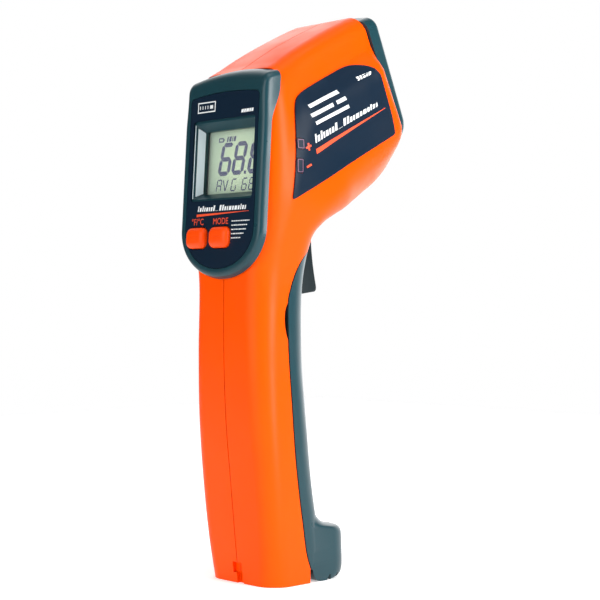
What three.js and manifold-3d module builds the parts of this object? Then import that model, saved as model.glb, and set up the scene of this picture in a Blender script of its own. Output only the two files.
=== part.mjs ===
/*
 * Pistol-grip infrared thermometer, standing on the foot of its handle.
 * Millimetres. +X is the right-hand side, +Y is the way the lens points, +Z is up.
 * The origin is under the middle of the footprint, on the surface that the handle stands on.
 *
 * The design is drawn with Y counted from the rear corner line of the handle. The outermost group
 * moves everything back by ORIGIN_Y. Three sub-groups have frames of their own:
 *   face   - the leaning rear panel: local Y is depth behind the label, local Z runs up the panel
 *   barrel - the pitched head: local Y is the optical axis, its zero is in the middle of the nose
 *   cell   - the battery, which leans with the handle
 */
import * as THREE from 'three';
import { mergeVertices } from 'three/addons/utils/BufferGeometryUtils.js';
import Module from 'manifold-3d';

const wasm = await Module();
wasm.setup();

// ------------------------------------------------------------------ driving dimensions
const ORIGIN_Y = 27.83;                   // from the drawing's zero to the middle of the footprint
const WALL = 2.2;                         // moulded wall of the two shells
const GAP = 0.3;                          // clearance between neighbouring pieces
const BODY_STEPS = 24;                     // rings along the body
const SPLIT_GAP = 0.3;                    // width of the parting line between the shells

const PITCH = THREE.MathUtils.degToRad(23.5);          // the barrel points up by this angle
const NOSE = { y: 54.27, z: 161.27 };                  // middle of the nose's front plane
const FACE = { y: -4.85, z: 111, lean: 0.062 };        // a point of the rear label, and its lean

// One row is one cross-section of the body, from the base up the handle and out along the barrel:
// rear point (y, z), front point (y, z), half width, rear corner radius, front corner radius, how
// far the side panel bulges, and how deep the rear corner runs.
const STATIONS = [
  [3.5, 0, 27.4, 0, 15.9, 7.2, 7.5, 0, 7.2],
  [1.9, 14, 26.2, 14, 16.7, 6.4, 7.8, 0, 6.4],
  [0.1, 31, 23.3, 31, 17.1, 6.3, 8.6, 0, 6.3],
  [-1.9, 51, 21.1, 51, 17.1, 6.9, 8.8, 0, 6.9],
  [-2.8, 72, 19.3, 72, 16.8, 7.4, 8.6, 0, 7.4],
  [-2.8, 94, 19.6, 93, 17.0, 8.1, 8.8, 0, 8.4],
  [-2.8, 109, 21.2, 106.6, 19.6, 8, 9.5, 0, 9.4],
  [-2.5, 122, 25, 111.8, 21.4, 7.0, 10, 0.3, 10.2],
  [-1.9, 135, 30, 114.8, 21.8, 6.5, 10, 0.8, 10.6],
  [-1.0, 148, 35.6, 117.2, 21, 6.2, 10, 1.8, 10.6],
  [1.0, 157.3, 41.4, 120, 19.4, 6.2, 10, 3.2, 9],
  [8.2, 162.6, 46.8, 122.9, 18.3, 6, 10, 4.4, 7],
  [18.1, 168.6, 52, 126, 17.9, 6, 10, 5.1, 6],
  [28.5, 174.1, 56.4, 129.8, 17.8, 6, 10, 5.5, 6],
  [36.5, 178, 59, 133.6, 17.8, 6, 10, 5.5, 6],
  [40.3, 179.7, 59.1, 136.5, 17.8, 6, 10, 1.6, 6],
];
const NOSE_RUN_OUT = [45.8, 182.1, 64.6, 138.9, 17.8, 6, 10, 1.6, 6];   // only for cutting the mouth

const LABEL = { half: 15.85, drop: 12.2, top: 152, crown: 0.9, corner: 1.6 };
const RIM = { half: 19.4, drop: 15.3, top: 158.9, crown: 1.7, corner: 2.6 };
const ARC_Z = 110.3;                      // height where the panel's straight sides end
const RIM_DEPTH = { low: 2.4, high: 5.3, from: 142, to: 153.5 };
const WINDOW = { left: -13.9, right: 14.2, bottom: 119.6, top: 144.4 };
const REVEAL = { side: 1.2, bottom: 2.3, top: 2.6, depth: 3.8 };   // how the opening narrows
const SLAB = 4.2;                         // thickness of the bezel's panel
const BUTTON = { z: 107.7, wide: 8.9, tall: 6.5, proud: 1.9, x: [-9.9, 0.9] };

const DOOR_PIVOT = { y: 24.5, z: 4.6, r: 4.6 };
const DOOR_SEAM = [
  [19.3, 4.6], [17.1, 10.2], [15.0, 20.4], [13.6, 28], [12.1, 38.1], [11.1, 48.1], [10.4, 57.4],
  [9.4, 70.5], [9.0, 80.4], [9.0, 87.8], [10, 92], [11.5, 96.4], [13.3, 99.8], [15.5, 102.2],
  [18, 103.6],
];
const DOOR_GAP = 0.45;
const DOOR_NOTCH = { half: 7, z: 86 };    // the door's upper end straddles the trigger
const FOOT = { half: 16.2, front: 37.3, corner: 7.5 };

const TRIGGER = { y: 28, z: 119, half: 5.5, hole: 1.15 };
const SCREWS = [[8.5, 70], [11.5, 99], [26.1, 165.9], [44, 133.5]];
const SCREW = { shank: 1.15, head: 2.6, headTall: 1.6, from: -9, to: 6, boss: 3.5 };

// ------------------------------------------------------------------ solids
const V = (x, y, z) => new THREE.Vector3(x, y, z);

function solid(geometry) {
  const bare = geometry.clone();
  for (const extra of ['normal', 'uv']) bare.deleteAttribute(extra);
  const merged = mergeVertices(bare, 1e-4);
  return new wasm.Manifold(new wasm.Mesh({
    numProp: 3,
    vertProperties: new Float32Array(merged.attributes.position.array),
    triVerts: new Uint32Array(merged.index.array),
  }));
}

function geometryOf(shape) {
  const mesh = shape.getMesh();
  const geometry = new THREE.BufferGeometry();
  geometry.setAttribute('position', new THREE.BufferAttribute(new Float32Array(mesh.vertProperties), 3));
  geometry.setIndex(new THREE.BufferAttribute(new Uint32Array(mesh.triVerts), 1));
  geometry.computeVertexNormals();
  return geometry;
}

// A closed skin over rings that all have the same number of points, each listed the same way round.
function loft(rings) {
  const count = rings[0].length;
  const points = rings.flat();
  const faces = [];
  for (let i = 0; i + 1 < rings.length; i++) {
    for (let j = 0; j < count; j++) {
      const a = i * count + j;
      const b = i * count + (j + 1) % count;
      faces.push(a, b, b + count, a, b + count, a + count);
    }
  }
  for (const [start, flip] of [[0, true], [(rings.length - 1) * count, false]]) {
    const centre = points.length;
    const middle = V(0, 0, 0);
    for (let j = 0; j < count; j++) middle.addScaledVector(points[start + j], 1 / count);
    points.push(middle);
    for (let j = 0; j < count; j++) {
      const a = start + j;
      const b = start + (j + 1) % count;
      faces.push(centre, flip ? b : a, flip ? a : b);
    }
  }
  return skin(points, faces);
}

function skin(points, faces) {
  const geometry = new THREE.BufferGeometry().setFromPoints(points);
  geometry.setIndex(faces);
  const shape = solid(geometry);
  if (shape.volume() >= 0) return shape;
  for (let i = 0; i < faces.length; i += 3) [faces[i], faces[i + 1]] = [faces[i + 1], faces[i]];
  geometry.setIndex(faces);
  return solid(geometry);
}

// A prism whose outline lies in XZ. Its near and far ends follow the depth functions of (x, z).
function prismY(outline, near, far) {
  const at = (depth, p) => V(p.x, typeof depth === 'number' ? depth : depth(p.x, p.y), p.y);
  const triangles = THREE.ShapeUtils.triangulateShape(outline, []);
  const n = outline.length;
  const points = [...outline.map((p) => at(near, p)), ...outline.map((p) => at(far, p))];
  const faces = [];
  for (const [a, b, c] of triangles) faces.push(a, b, c, c + n, b + n, a + n);
  for (let i = 0; i < n; i++) {
    const j = (i + 1) % n;
    faces.push(i, i + n, j, j, i + n, j + n);
  }
  return skin(points, faces);
}

// A prism whose outline lies in YZ, running from x0 to x1.
function prismX(outline, x0, x1) {
  const shape = new THREE.Shape(outline.map(([y, z]) => new THREE.Vector2(y, z)));
  const geometry = new THREE.ExtrudeGeometry(shape, { depth: x1 - x0, bevelEnabled: false });
  geometry.applyMatrix4(new THREE.Matrix4().makeBasis(V(0, 1, 0), V(0, 0, 1), V(1, 0, 0)).setPosition(x0, 0, 0));
  return solid(geometry);
}

function box(x0, x1, y0, y1, z0, z1) {
  const geometry = new THREE.BoxGeometry(x1 - x0, y1 - y0, z1 - z0);
  return solid(geometry.translate((x0 + x1) / 2, (y0 + y1) / 2, (z0 + z1) / 2));
}

// A solid of revolution about a line along X, from rows of (x, radius).
function turnedX(rows, y, z, segments = 20) {
  const profile = [[rows[0][0], 0], ...rows, [rows.at(-1)[0], 0]].map(([x, r]) => new THREE.Vector2(r, x));
  const geometry = new THREE.LatheGeometry(profile, segments);
  geometry.rotateZ(-Math.PI / 2);
  return solid(geometry.translate(0, y, z));
}

// The same about a line along Y, from rows of (y, radius).
function turnedY(rows, x, z, segments = 24) {
  const profile = [[rows[0][0], 0], ...rows, [rows.at(-1)[0], 0]].map(([y, r]) => new THREE.Vector2(r, y));
  return solid(new THREE.LatheGeometry(profile, segments).translate(x, 0, z));
}

const rodX = (x0, x1, r, y, z, segments = 20) => turnedX([[x0, r], [x1, r]], y, z, segments);
const rodY = (y0, y1, r, x, z, segments = 24) => turnedY([[y0, r], [y1, r]], x, z, segments);
const mirrored = (shape) => shape.mirror([1, 0, 0]);
const intoBarrel = (shape) => shape.rotate([THREE.MathUtils.radToDeg(PITCH), 0, 0]).translate([0, NOSE.y, NOSE.z]);

// ------------------------------------------------------------------ the body's surface
const smooth = (a, b, x) => THREE.MathUtils.smoothstep(x, a, b);

// Catmull-Rom through the stations, number by number.
function stationAt(rows, t) {
  const s = Math.min(Math.max(t, 0), 1) * (rows.length - 1);
  const i = Math.min(Math.floor(s), rows.length - 2);
  const f = s - i;
  return rows[0].map((_, k) => {
    const b = rows[i][k];
    const c = rows[i + 1][k];
    const a = i > 0 ? rows[i - 1][k] : 2 * b - c;
    const d = i + 2 < rows.length ? rows[i + 2][k] : 2 * c - b;
    return 0.5 * (2 * b + (c - a) * f + (2 * a - 5 * b + 4 * c - d) * f * f + (3 * b - a - 3 * c + d) * f * f * f);
  });
}

// One ring of the body: a rounded rectangle between its rear and front points, grown outwards.
function bodyRing(row, grow, arcSteps, sideSteps) {
  const [ry, rz, fy, fz, halfWidth, rearRadius, frontRadius, bulge, rearDeep] = row;
  const rear = new THREE.Vector2(ry, rz);
  const across = new THREE.Vector2(fy - ry, fz - rz);
  const depth = across.length() + 2 * grow;
  across.normalize();
  rear.addScaledVector(across, -grow);
  const half = halfWidth + grow;
  const r1 = rearRadius + grow;
  const deep = rearDeep + grow;
  const r2 = frontRadius + grow;
  const side = [[0, 0]];
  for (let i = 0; i <= arcSteps; i++) {
    const a = (i / arcSteps) * Math.PI / 2;
    side.push([half - r1 + r1 * Math.sin(a), deep * (1 - Math.cos(a))]);
  }
  for (let i = 1; i < sideSteps; i++) side.push([half, deep + (depth - deep - r2) * i / sideSteps]);
  for (let i = 0; i <= arcSteps; i++) {
    const a = (i / arcSteps) * Math.PI / 2;
    side.push([half - r2 + r2 * Math.cos(a), depth - r2 + r2 * Math.sin(a)]);
  }
  side.push([0, depth]);
  const place = ([x, q], sign) => {
    const share = q / depth;
    const panel = bulge * smooth(0.2, 0.36, share) * (1 - smooth(0.74, 0.96, share));
    return V(sign * (x + panel), rear.x + across.x * q, rear.y + across.y * q);
  };
  const right = side.map((p) => place(p, 1));
  const left = side.slice(1, -1).reverse().map((p) => place(p, -1));
  return [...right, ...left];
}

function bodyLoft(grow, count, rows = STATIONS, arcSteps = 4, sideSteps = 5) {
  const rings = [];
  for (let i = 0; i <= count; i++) {
    rings.push(bodyRing(stationAt(rows, i / count), grow, arcSteps, sideSteps));
  }
  return loft(rings);
}

const OUTER = bodyLoft(0, BODY_STEPS);
const INNER = bodyLoft(-WALL, 18, [...STATIONS, NOSE_RUN_OUT], 3, 4).subtract(box(-40, 40, -20, 80, -20, 2.4));

const INNER_OF_DOOR = bodyLoft(-2, 18, [...STATIONS, NOSE_RUN_OUT], 3, 4);

// ------------------------------------------------------------------ outlines
// The rear panel's outline: straight sides, a half-ellipse below, an arched top with round corners.
function panelOutline({ half, drop, top, crown, corner }, grow = 0, steps = 20) {
  const points = [];
  const w = half + grow;
  for (let i = 0; i <= steps; i++) {
    const a = Math.PI + (i / steps) * Math.PI;
    points.push(new THREE.Vector2(w * Math.cos(a), ARC_Z + (drop + grow) * Math.sin(a)));
  }
  const r = Math.max(corner + grow, 0.4);
  for (let i = 0; i <= 4; i++) {
    const a = (i / 4) * Math.PI / 2;
    points.push(new THREE.Vector2(w - r + r * Math.cos(a), top + grow - r + r * Math.sin(a)));
  }
  for (let i = 1; i < 8; i++) {
    const x = (w - r) * (1 - i / 4);
    points.push(new THREE.Vector2(x, top + grow + crown * (1 - (x / (w - r)) ** 2)));
  }
  for (let i = 0; i <= 4; i++) {
    const a = Math.PI / 2 + (i / 4) * Math.PI / 2;
    points.push(new THREE.Vector2(-w + r + r * Math.cos(a), top + grow - r + r * Math.sin(a)));
  }
  return points.map((p) => new THREE.Vector2(p.x, p.y - FACE.z));
}

const rimDepth = (z) => RIM_DEPTH.low
  + (RIM_DEPTH.high - RIM_DEPTH.low) * smooth(RIM_DEPTH.from, RIM_DEPTH.to, z + FACE.z);

// The nose's outline in the barrel's frame: square shoulders above, round corners below.
function noseOutline(half, top, bottom, upper, lower) {
  const points = [];
  for (let i = 0; i <= 5; i++) {
    const a = (i / 5) * Math.PI / 2;
    points.push(new THREE.Vector2(half - lower + lower * Math.sin(a), bottom + lower - lower * Math.cos(a)));
  }
  for (let i = 0; i <= 5; i++) {
    const a = (i / 5) * Math.PI / 2;
    points.push(new THREE.Vector2(half - upper + upper * Math.cos(a), top - upper + upper * Math.sin(a)));
  }
  points.push(new THREE.Vector2(0, top + 0.8));
  const left = points.slice(0, -1).reverse().map((p) => new THREE.Vector2(-p.x, p.y));
  return [...points, ...left];
}

function roundedRect(x0, x1, z0, z1, r, steps = 4) {
  const points = [];
  for (const [cx, cz, start] of [[x1 - r, z0 + r, -90], [x1 - r, z1 - r, 0], [x0 + r, z1 - r, 90], [x0 + r, z0 + r, 180]]) {
    for (let i = 0; i <= steps; i++) {
      const a = THREE.MathUtils.degToRad(start + 90 * i / steps);
      points.push(new THREE.Vector2(cx + r * Math.cos(a), cz + r * Math.sin(a)));
    }
  }
  return points;
}

const inFace = new THREE.Matrix4().makeRotationX(-Math.atan(FACE.lean)).setPosition(0, FACE.y, FACE.z);
const intoFace = (shape) => shape.rotate([-THREE.MathUtils.radToDeg(Math.atan(FACE.lean)), 0, 0])
  .translate([0, FACE.y, FACE.z]);

// ------------------------------------------------------------------ shells
// The space that the battery door fills, in front of the seam. The door's own lower end is round,
// about its hinge; the shells are cut away square there so that the foot has room to swing.
function doorSpace(clearance) {
  const { y, z, r } = DOOR_PIVOT;
  const seam = DOOR_SEAM.map(([sy, sz]) => [sy - clearance, sz]);
  const lowerEnd = clearance > 0 ? [[y - r - clearance, -3]] : [];
  for (let i = 6; i > 0 && clearance === 0; i--) {
    const a = Math.PI * (1 + i / 12);
    lowerEnd.push([y + r * Math.cos(a), z + r * Math.sin(a)]);
  }
  const top = [[18, 103.6 + 2 * clearance], [24, 105 + 2 * clearance]];
  const space = prismX([...lowerEnd, ...seam, ...top, [45, 105], [45, -3], [y, -3]], -30, 30);
  const tongue = box(-DOOR_NOTCH.half + clearance, DOOR_NOTCH.half - clearance, 0, 60, DOOR_NOTCH.z + clearance, 120);
  return space.subtract(tongue);
}

function fingerNotch() {
  const outline = [[9.6, 75], [8.2, 77.4], [7.4, 81], [7.6, 85], [9.2, 88.6], [14, 88.6], [14, 75]];
  return prismX(outline, 14.2, 30).add(prismX(outline, -30, -14.2));
}

// Screw pillars run right across; the left one is counterbored for the screw's head.
function screwPillars() {
  return SCREWS.map(([y, z]) => rodX(-24, 24, SCREW.boss, y, z, 14)).reduce((a, b) => a.add(b));
}

function screwHoles() {
  return SCREWS.map(([y, z]) => turnedX([
    [-40, SCREW.head + GAP], [SCREW.from, SCREW.head + GAP],
    [SCREW.from, SCREW.shank + 0.2], [SCREW.to + 1.5, SCREW.shank + 0.2],
  ], y, z, 14)).reduce((a, b) => a.add(b));
}

function hingeTongues() {
  const { y, z } = DOOR_PIVOT;
  const tongue = prismX([[12, 1.6], [19.5, 2.4], [y, 2.4], [y, 6.8], [12, 6.8]], 4, 8).add(rodX(4, 8, 2.2, y, z, 14));
  return tongue.add(mirrored(tongue));
}

function triggerPosts() {
  const post = rodX(6.2, 22, 2.4, TRIGGER.y, TRIGGER.z, 12);
  return post.add(mirrored(post));
}

function shellBlank() {
  const pillars = screwPillars().add(triggerPosts()).intersect(OUTER);
  let blank = OUTER.subtract(INNER).add(pillars);
  blank = blank.subtract(screwHoles());
  blank = blank.subtract(intoFace(prismY(panelOutline(RIM, GAP), -12, (x, z) => rimDepth(z) + GAP)));
  blank = blank.subtract(intoFace(prismY(panelOutline(RIM, -2.4, 16), -12, 13)));
  blank = blank.subtract(doorSpace(DOOR_GAP)).subtract(fingerNotch());
  blank = blank.add(hingeTongues().intersect(bodyLoft(-0.2, 8)));
  const slot = TRIGGER.half + 0.5;
  blank = blank.subtract(prismX([[21.6, 107.6], [31.2, 106], [31.6, 118.4], [22, 116.6]], -slot, slot));
  blank = blank.subtract(rodX(-9, 9, 1.0 + 0.15, TRIGGER.y, TRIGGER.z, 16));
  blank = blank.subtract(rodX(-14, 14, 0.95 + 0.15, DOOR_PIVOT.y, DOOR_PIVOT.z, 16));
  blank = blank.subtract(box(-2.2, 2.2, 0, 4.3, 3.2, 6.6)).subtract(box(-0.6, 2.2, 0, 4.6, -1, 3.3));
  for (const key of KEYS) blank = blank.subtract(keyHole(key));
  return blank;
}

// ------------------------------------------------------------------ side panel: labels and keys
const SIDE_LABEL = [
  [5.8, 118.7], [51.4, 142.5], [50, 147.4], [44, 161.3], [41.6, 163.6], [38.7, 164], [32.4, 162.9],
  [11.6, 152.2], [8.9, 149.6], [7.7, 145.5],
];
const KEYS = [
  { name: 'plus_key', y: 8.4, z: 135.9, wide: 2.5, tall: 3.2 },
  { name: 'minus_key', y: 8.0, z: 129.2, wide: 2.4, tall: 4.4 },
];
const LABEL_LIFT = 0.25;
const LABEL_THICK = 0.35;

const keyRect = (key, grow) => roundedRect(
  key.y - key.wide / 2 - grow, key.y + key.wide / 2 + grow,
  key.z - key.tall / 2 - grow, key.z + key.tall / 2 + grow, 0.6 + grow, 2).map((p) => [p.x, p.y]);
const keyHole = (key) => prismX(keyRect(key, GAP), 16, 30);

function sideLabel(sign) {
  const band = bodyLoft(LABEL_LIFT + LABEL_THICK, BODY_STEPS).subtract(bodyLoft(LABEL_LIFT, BODY_STEPS));
  let label = band.intersect(prismX(SIDE_LABEL, 12, 30));
  if (sign < 0) return mirrored(label);
  for (const key of KEYS) label = label.subtract(keyHole(key));
  return label;
}

function sideKey(key) {
  const cap = prismX(keyRect(key, 0), 17.6, 30).intersect(bodyLoft(LABEL_LIFT + LABEL_THICK, BODY_STEPS));
  const flange = box(17, 17.6, key.y - 2.2, key.y + 2.2, key.z - key.tall / 2 - 0.6, key.z + key.tall / 2 + 0.6);
  return cap.add(flange);
}

function sideKeyBoard() {
  return box(14.4, 15.4, 5.8, 12.4, 124, 141)
    .add(rodX(15.3, 16.4, 1.4, KEYS[0].y, KEYS[0].z, 12))
    .add(rodX(15.3, 16.4, 1.4, KEYS[1].y, KEYS[1].z, 12));
}

// ------------------------------------------------------------------ rear panel pieces (face frame)
const faceZ = (z) => z - FACE.z;

function windowRing(share, y, grow = 0) {
  const { left, right, bottom, top } = WINDOW;
  const side = REVEAL.side * share - grow;
  const outline = roundedRect(left + side, right - side, faceZ(bottom) + REVEAL.bottom * share - grow,
    faceZ(top) - REVEAL.top * share + grow, 0.8, 1);
  return outline.map((p) => V(p.x, y, p.y));
}

const windowFunnel = () => loft([
  windowRing(-0.1, -0.4), windowRing(1, REVEAL.depth), windowRing(1, REVEAL.depth + 9),
]);

function rearBezel() {
  const levels = [[0, 0], [0.45, 0.06], [0.72, 0.22], [0.88, 0.56], [1, 1]];
  const label = panelOutline(LABEL, 0.2);
  const rim = panelOutline(RIM);
  const rings = levels.map(([out, back]) => label.map((p, i) => {
    const q = rim[i];
    return V(p.x + (q.x - p.x) * out, rimDepth(q.y) * back, p.y + (q.y - p.y) * out);
  }));
  rings.push(rim.map((p) => V(p.x, rimDepth(p.y) + 0.01, p.y)));
  let bezel = loft(rings);
  bezel = bezel.add(prismY(panelOutline(RIM, -2.4 - GAP, 16), 0.9, 9));
  bezel = bezel.subtract(prismY(panelOutline(RIM, -3.6, 16), SLAB, 12));
  bezel = bezel.subtract(prismY(panelOutline(LABEL, 0.2), -3, 0.6));
  bezel = bezel.subtract(windowFunnel());
  for (const x of BUTTON.x) bezel = bezel.subtract(prismY(buttonRect(x, GAP), -3, 12));
  return bezel;
}

const buttonRect = (x, grow) => roundedRect(
  x - BUTTON.wide / 2 - grow, x + BUTTON.wide / 2 + grow,
  faceZ(BUTTON.z) - BUTTON.tall / 2 - grow, faceZ(BUTTON.z) + BUTTON.tall / 2 + grow, 1.7 + grow);

function rearLabel() {
  const { left, right, bottom, top } = WINDOW;
  let label = prismY(panelOutline(LABEL), 0, 0.3);
  label = label.subtract(prismY(roundedRect(left - 0.4, right + 0.4, faceZ(bottom) - 0.4, faceZ(top) + 0.4, 1), -1, 1));
  for (const x of BUTTON.x) label = label.subtract(prismY(buttonRect(x, GAP), -1, 1));
  return label;
}

function buttonCap(x) {
  const ring = (grow, y) => buttonRect(x, grow).map((p) => V(p.x, y, p.y));
  const crown = loft([ring(-1.5, -BUTTON.proud), ring(-0.5, -BUTTON.proud + 0.25), ring(0, -BUTTON.proud + 1.1), ring(0, 8)]);
  const lip = BUTTON.tall / 2 + 0.9;
  return crown.add(box(x - 2, x + 2, SLAB + 1.2, SLAB + 2, faceZ(BUTTON.z) - lip, faceZ(BUTTON.z) + lip));
}

// A plate behind the display opening, overlapping it by a margin all round.
function windowPlate(margin, y0, y1) {
  const rings = [y0, y1].map((y) => windowRing(1, y, margin));
  return loft(rings);
}

const displayWindow = () => windowPlate(1, SLAB + 0.3, SLAB + 1);
const lcdPanel = () => windowPlate(1.3, SLAB + 1.4, SLAB + 4);

function keypadMembrane() {
  let sheet = box(-15.4, 6.4, 10.2, 10.9, faceZ(103), faceZ(112.4));
  for (const x of BUTTON.x) sheet = sheet.add(turnedY([[9.2, 1.6], [10.3, 2.6]], x, faceZ(BUTTON.z), 16));
  return sheet;
}

function mainBoard() {
  const outline = roundedRect(-13.8, 13.8, faceZ(100.5), faceZ(152), 2, 2);
  let board = prismY(outline, 11.2, 12.8);
  for (const [x0, x1, z0, z1, tall] of [[-8, 4, 124, 136, 1.6], [6, 12, 140, 147, 2.2], [-13, -7, 141, 146, 1.2], [8, 13, 104, 109, 1.8]]) {
    board = board.add(box(x0, x1, 12.7, 12.8 + tall, faceZ(z0), faceZ(z1)));
  }
  return board;
}

const buzzer = () => turnedY([[13.1, 4.4], [16.4, 4.4], [16.9, 4.0]], 9, faceZ(131), 20)
  .subtract(rodY(16.2, 18, 0.8, 9, faceZ(131), 10));

// ------------------------------------------------------------------ nose and optics (barrel frame)
const OPTIC_Z = -3;
const LASER_Z = 13.2;

function noseRing() {
  const outline = (grow) => noseOutline(18.8 + grow, 21 + grow, -21.6 - grow, 4 + grow * 0.6, 8 + grow);
  const ring = (grow, y) => outline(grow).map((p) => V(p.x, y, p.y));
  let nose = loft([ring(0, -5.2), ring(0, -1.4), ring(-0.4, -0.45), ring(-1.4, 0)]);
  nose = nose.add(prismY(noseOutline(15.1, 17.6, -19, 4, 7), -8.5, -5.1));
  nose = nose.subtract(prismY(noseOutline(15.2, 17.6, -18.4, 3.6, 6), -2.2, 5));
  nose = nose.subtract(prismY(noseOutline(13.4, 15.8, -17, 3, 6), -14, -4.4));
  nose = nose.subtract(turnedY([[-20, 8.3], [-3.9, 8.3], [-2.1, 10.4], [0, 10.4]], 0, OPTIC_Z, 28));
  nose = nose.subtract(rodY(-20, 0, 2.7, 0, LASER_Z, 18));
  return nose;
}

function lensTube() {
  const outer = turnedY([[-27, 5.4], [-24, 5.4], [-8.8, 9.6], [-4.8, 9.6]], 0, OPTIC_Z, 28);
  const bore = turnedY([[-30, 4.2], [-23.5, 4.2], [-9, 8.2], [-8.2, 8.2], [-8.2, 8.9], [0, 8.9]], 0, OPTIC_Z, 28);
  return outer.subtract(bore);
}

const irLens = () => turnedY([[-7.9, 8.6], [-6.6, 8.6], [-6.1, 6], [-5.9, 2]], 0, OPTIC_Z, 28);
const irSensor = () => turnedY([[-33.4, 4.1], [-28.8, 4.1], [-28.6, 3.7]], 0, OPTIC_Z, 20)
  .add(rodY(-33.9, -33.3, 4.7, 0, OPTIC_Z, 20));
const sensorBoard = () => box(-11, 11, -36, -34.4, OPTIC_Z - 9, OPTIC_Z + 9);
const laserModule = () => rodY(-15.5, -4.8, 3.1, 0, LASER_Z, 20).subtract(rodY(-6, -4, 1.9, 0, LASER_Z, 14));
const laserWindow = () => rodY(-3.9, -3.1, 2.4, 0, LASER_Z, 18);

// ------------------------------------------------------------------ trigger
function trigger() {
  const profile = new THREE.Shape();
  profile.moveTo(25.6, 90.4);
  profile.lineTo(31.2, 91.2);
  profile.quadraticCurveTo(32.1, 91.5, 31.8, 93);
  profile.quadraticCurveTo(29.9, 101, 29.5, 109);
  profile.lineTo(30, 117.6);
  profile.absarc(TRIGGER.y, TRIGGER.z, 2.4, -0.6, 2.6, false);
  profile.lineTo(24.6, 115.6);
  profile.lineTo(18.6, 115.2);
  profile.lineTo(18.6, 113.4);
  profile.lineTo(22.9, 112.8);
  profile.quadraticCurveTo(24.4, 101, 25, 91);
  const bevel = { bevelEnabled: true, bevelThickness: 0.7, bevelSize: 0.6, bevelOffset: -0.3, bevelSegments: 2, curveSegments: 8 };
  const blade = new THREE.ExtrudeGeometry(profile, { depth: 2 * TRIGGER.half - 1.4, ...bevel });
  blade.applyMatrix4(new THREE.Matrix4().makeBasis(V(0, 1, 0), V(0, 0, 1), V(1, 0, 0)).setPosition(-TRIGGER.half + 0.7, 0, 0));
  return solid(blade)
    .subtract(rodX(-9, 9, TRIGGER.hole + 0.05, TRIGGER.y, TRIGGER.z, 16))
    .subtract(box(2.2, 9, 24, 34, 115.4, 125))
    .subtract(box(2.2, 9, 10, 26, 111.6, 120))
    .subtract(box(-9, -2.2, 10, 26, 111.6, 120));
}

const triggerPin = () => rodX(-8.4, 8.4, 1.0, TRIGGER.y, TRIGGER.z, 16);

// A torsion spring beside the trigger's boss; its upper leg bears on the shell.
function triggerSpring() {
  const turns = 3;
  const points = [V(2.8, 33, 124)];
  for (let i = 0; i <= turns * 10; i++) {
    const a = Math.PI * 0.35 - (i / 10) * Math.PI * 2;
    points.push(V(2.8 + 0.75 * (i / 10), TRIGGER.y + 1.75 * Math.cos(a), TRIGGER.z + 1.75 * Math.sin(a)));
  }
  points.push(V(5.1, 24.4, 122.6));
  const wire = new THREE.Shape().absarc(0, 0, 0.25, 0, Math.PI * 2, false);
  const path = new THREE.CatmullRomCurve3(points, false, 'centripetal');
  return new THREE.ExtrudeGeometry(wire, { steps: 56, extrudePath: path, curveSegments: 3 });
}

const microswitch = () => box(-3.2, 3.2, 13.4, 22.6, 117.6, 123.4)
  .add(rodX(-1.2, 1.2, 0.8, 19.6, 117.5, 10).intersect(box(-2, 2, 18, 21, 116.7, 118)))
  .add(box(-0.4, 0.4, 11.6, 13.5, 119, 122));

// ------------------------------------------------------------------ battery door
function doorFoot() {
  const profile = new THREE.Shape();
  profile.moveTo(19.8, 20.9);
  profile.lineTo(25.4, 20.3);
  profile.quadraticCurveTo(26.6, 18.1, 28.6, 17.7);
  profile.lineTo(34.2, 16.9);
  profile.quadraticCurveTo(36.9, 16.5, 37, 13.8);
  profile.lineTo(FOOT.front, 3);
  profile.quadraticCurveTo(37.2, 0.2, 34.8, 0);
  profile.lineTo(32.6, 0);
  profile.quadraticCurveTo(31.6, 2.6, 30.4, 0);
  profile.lineTo(25.2, 0);
  profile.lineTo(24, 6);
  profile.lineTo(19.8, 10);
  const outline = profile.getPoints(5).map((p) => [p.x, p.y]);
  const block = prismX(outline, -FOOT.half, FOOT.half);
  const plan = prismZ(roundedRect(-FOOT.half, FOOT.half, 0, FOOT.front, FOOT.corner, 6), -1, 30);
  return block.intersect(plan).subtract(INNER_OF_DOOR.subtract(box(-40, 40, -20, 80, -20, 8.4)));
}

function prismZ(outline, z0, z1) {
  const geometry = new THREE.ExtrudeGeometry(new THREE.Shape(outline), { depth: z1 - z0, bevelEnabled: false });
  return solid(geometry.translate(0, 0, z0));
}

function batteryDoor() {
  const skinOnly = OUTER.subtract(INNER_OF_DOOR);
  let door = skinOnly.intersect(doorSpace(0).subtract(box(-40, 40, 0, 60, 104.2, 120)));
  const floor = OUTER.intersect(box(-40, 40, 15, 30, -1, DOOR_PIVOT.z))
    .intersect(rodX(-16, 16, DOOR_PIVOT.r, DOOR_PIVOT.y, DOOR_PIVOT.z, 24))
    .subtract(rodX(-14.4, 14.4, 2.7, DOOR_PIVOT.y, DOOR_PIVOT.z, 20));
  door = door.add(floor).add(doorFoot());
  for (const x of [9.2, -12.2]) door = door.add(rodX(x, x + 3, 3.4, DOOR_PIVOT.y, DOOR_PIVOT.z, 16));
  for (const x of [3.6, -8.4]) door = door.subtract(box(x, x + 4.8, 18, 27.2, -1, 9.4));
  return door.subtract(rodX(-13.5, 13.5, 0.95 + 0.15, DOOR_PIVOT.y, DOOR_PIVOT.z, 16));
}

const hingePin = () => rodX(-13, 13, 0.95, DOOR_PIVOT.y, DOOR_PIVOT.z, 16);

// ------------------------------------------------------------------ battery and wiring
const CELL = { y: 14.3, z: 8.2, lean: THREE.MathUtils.degToRad(6.1), wide: 26, deep: 17, tall: 46.4 };

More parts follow.
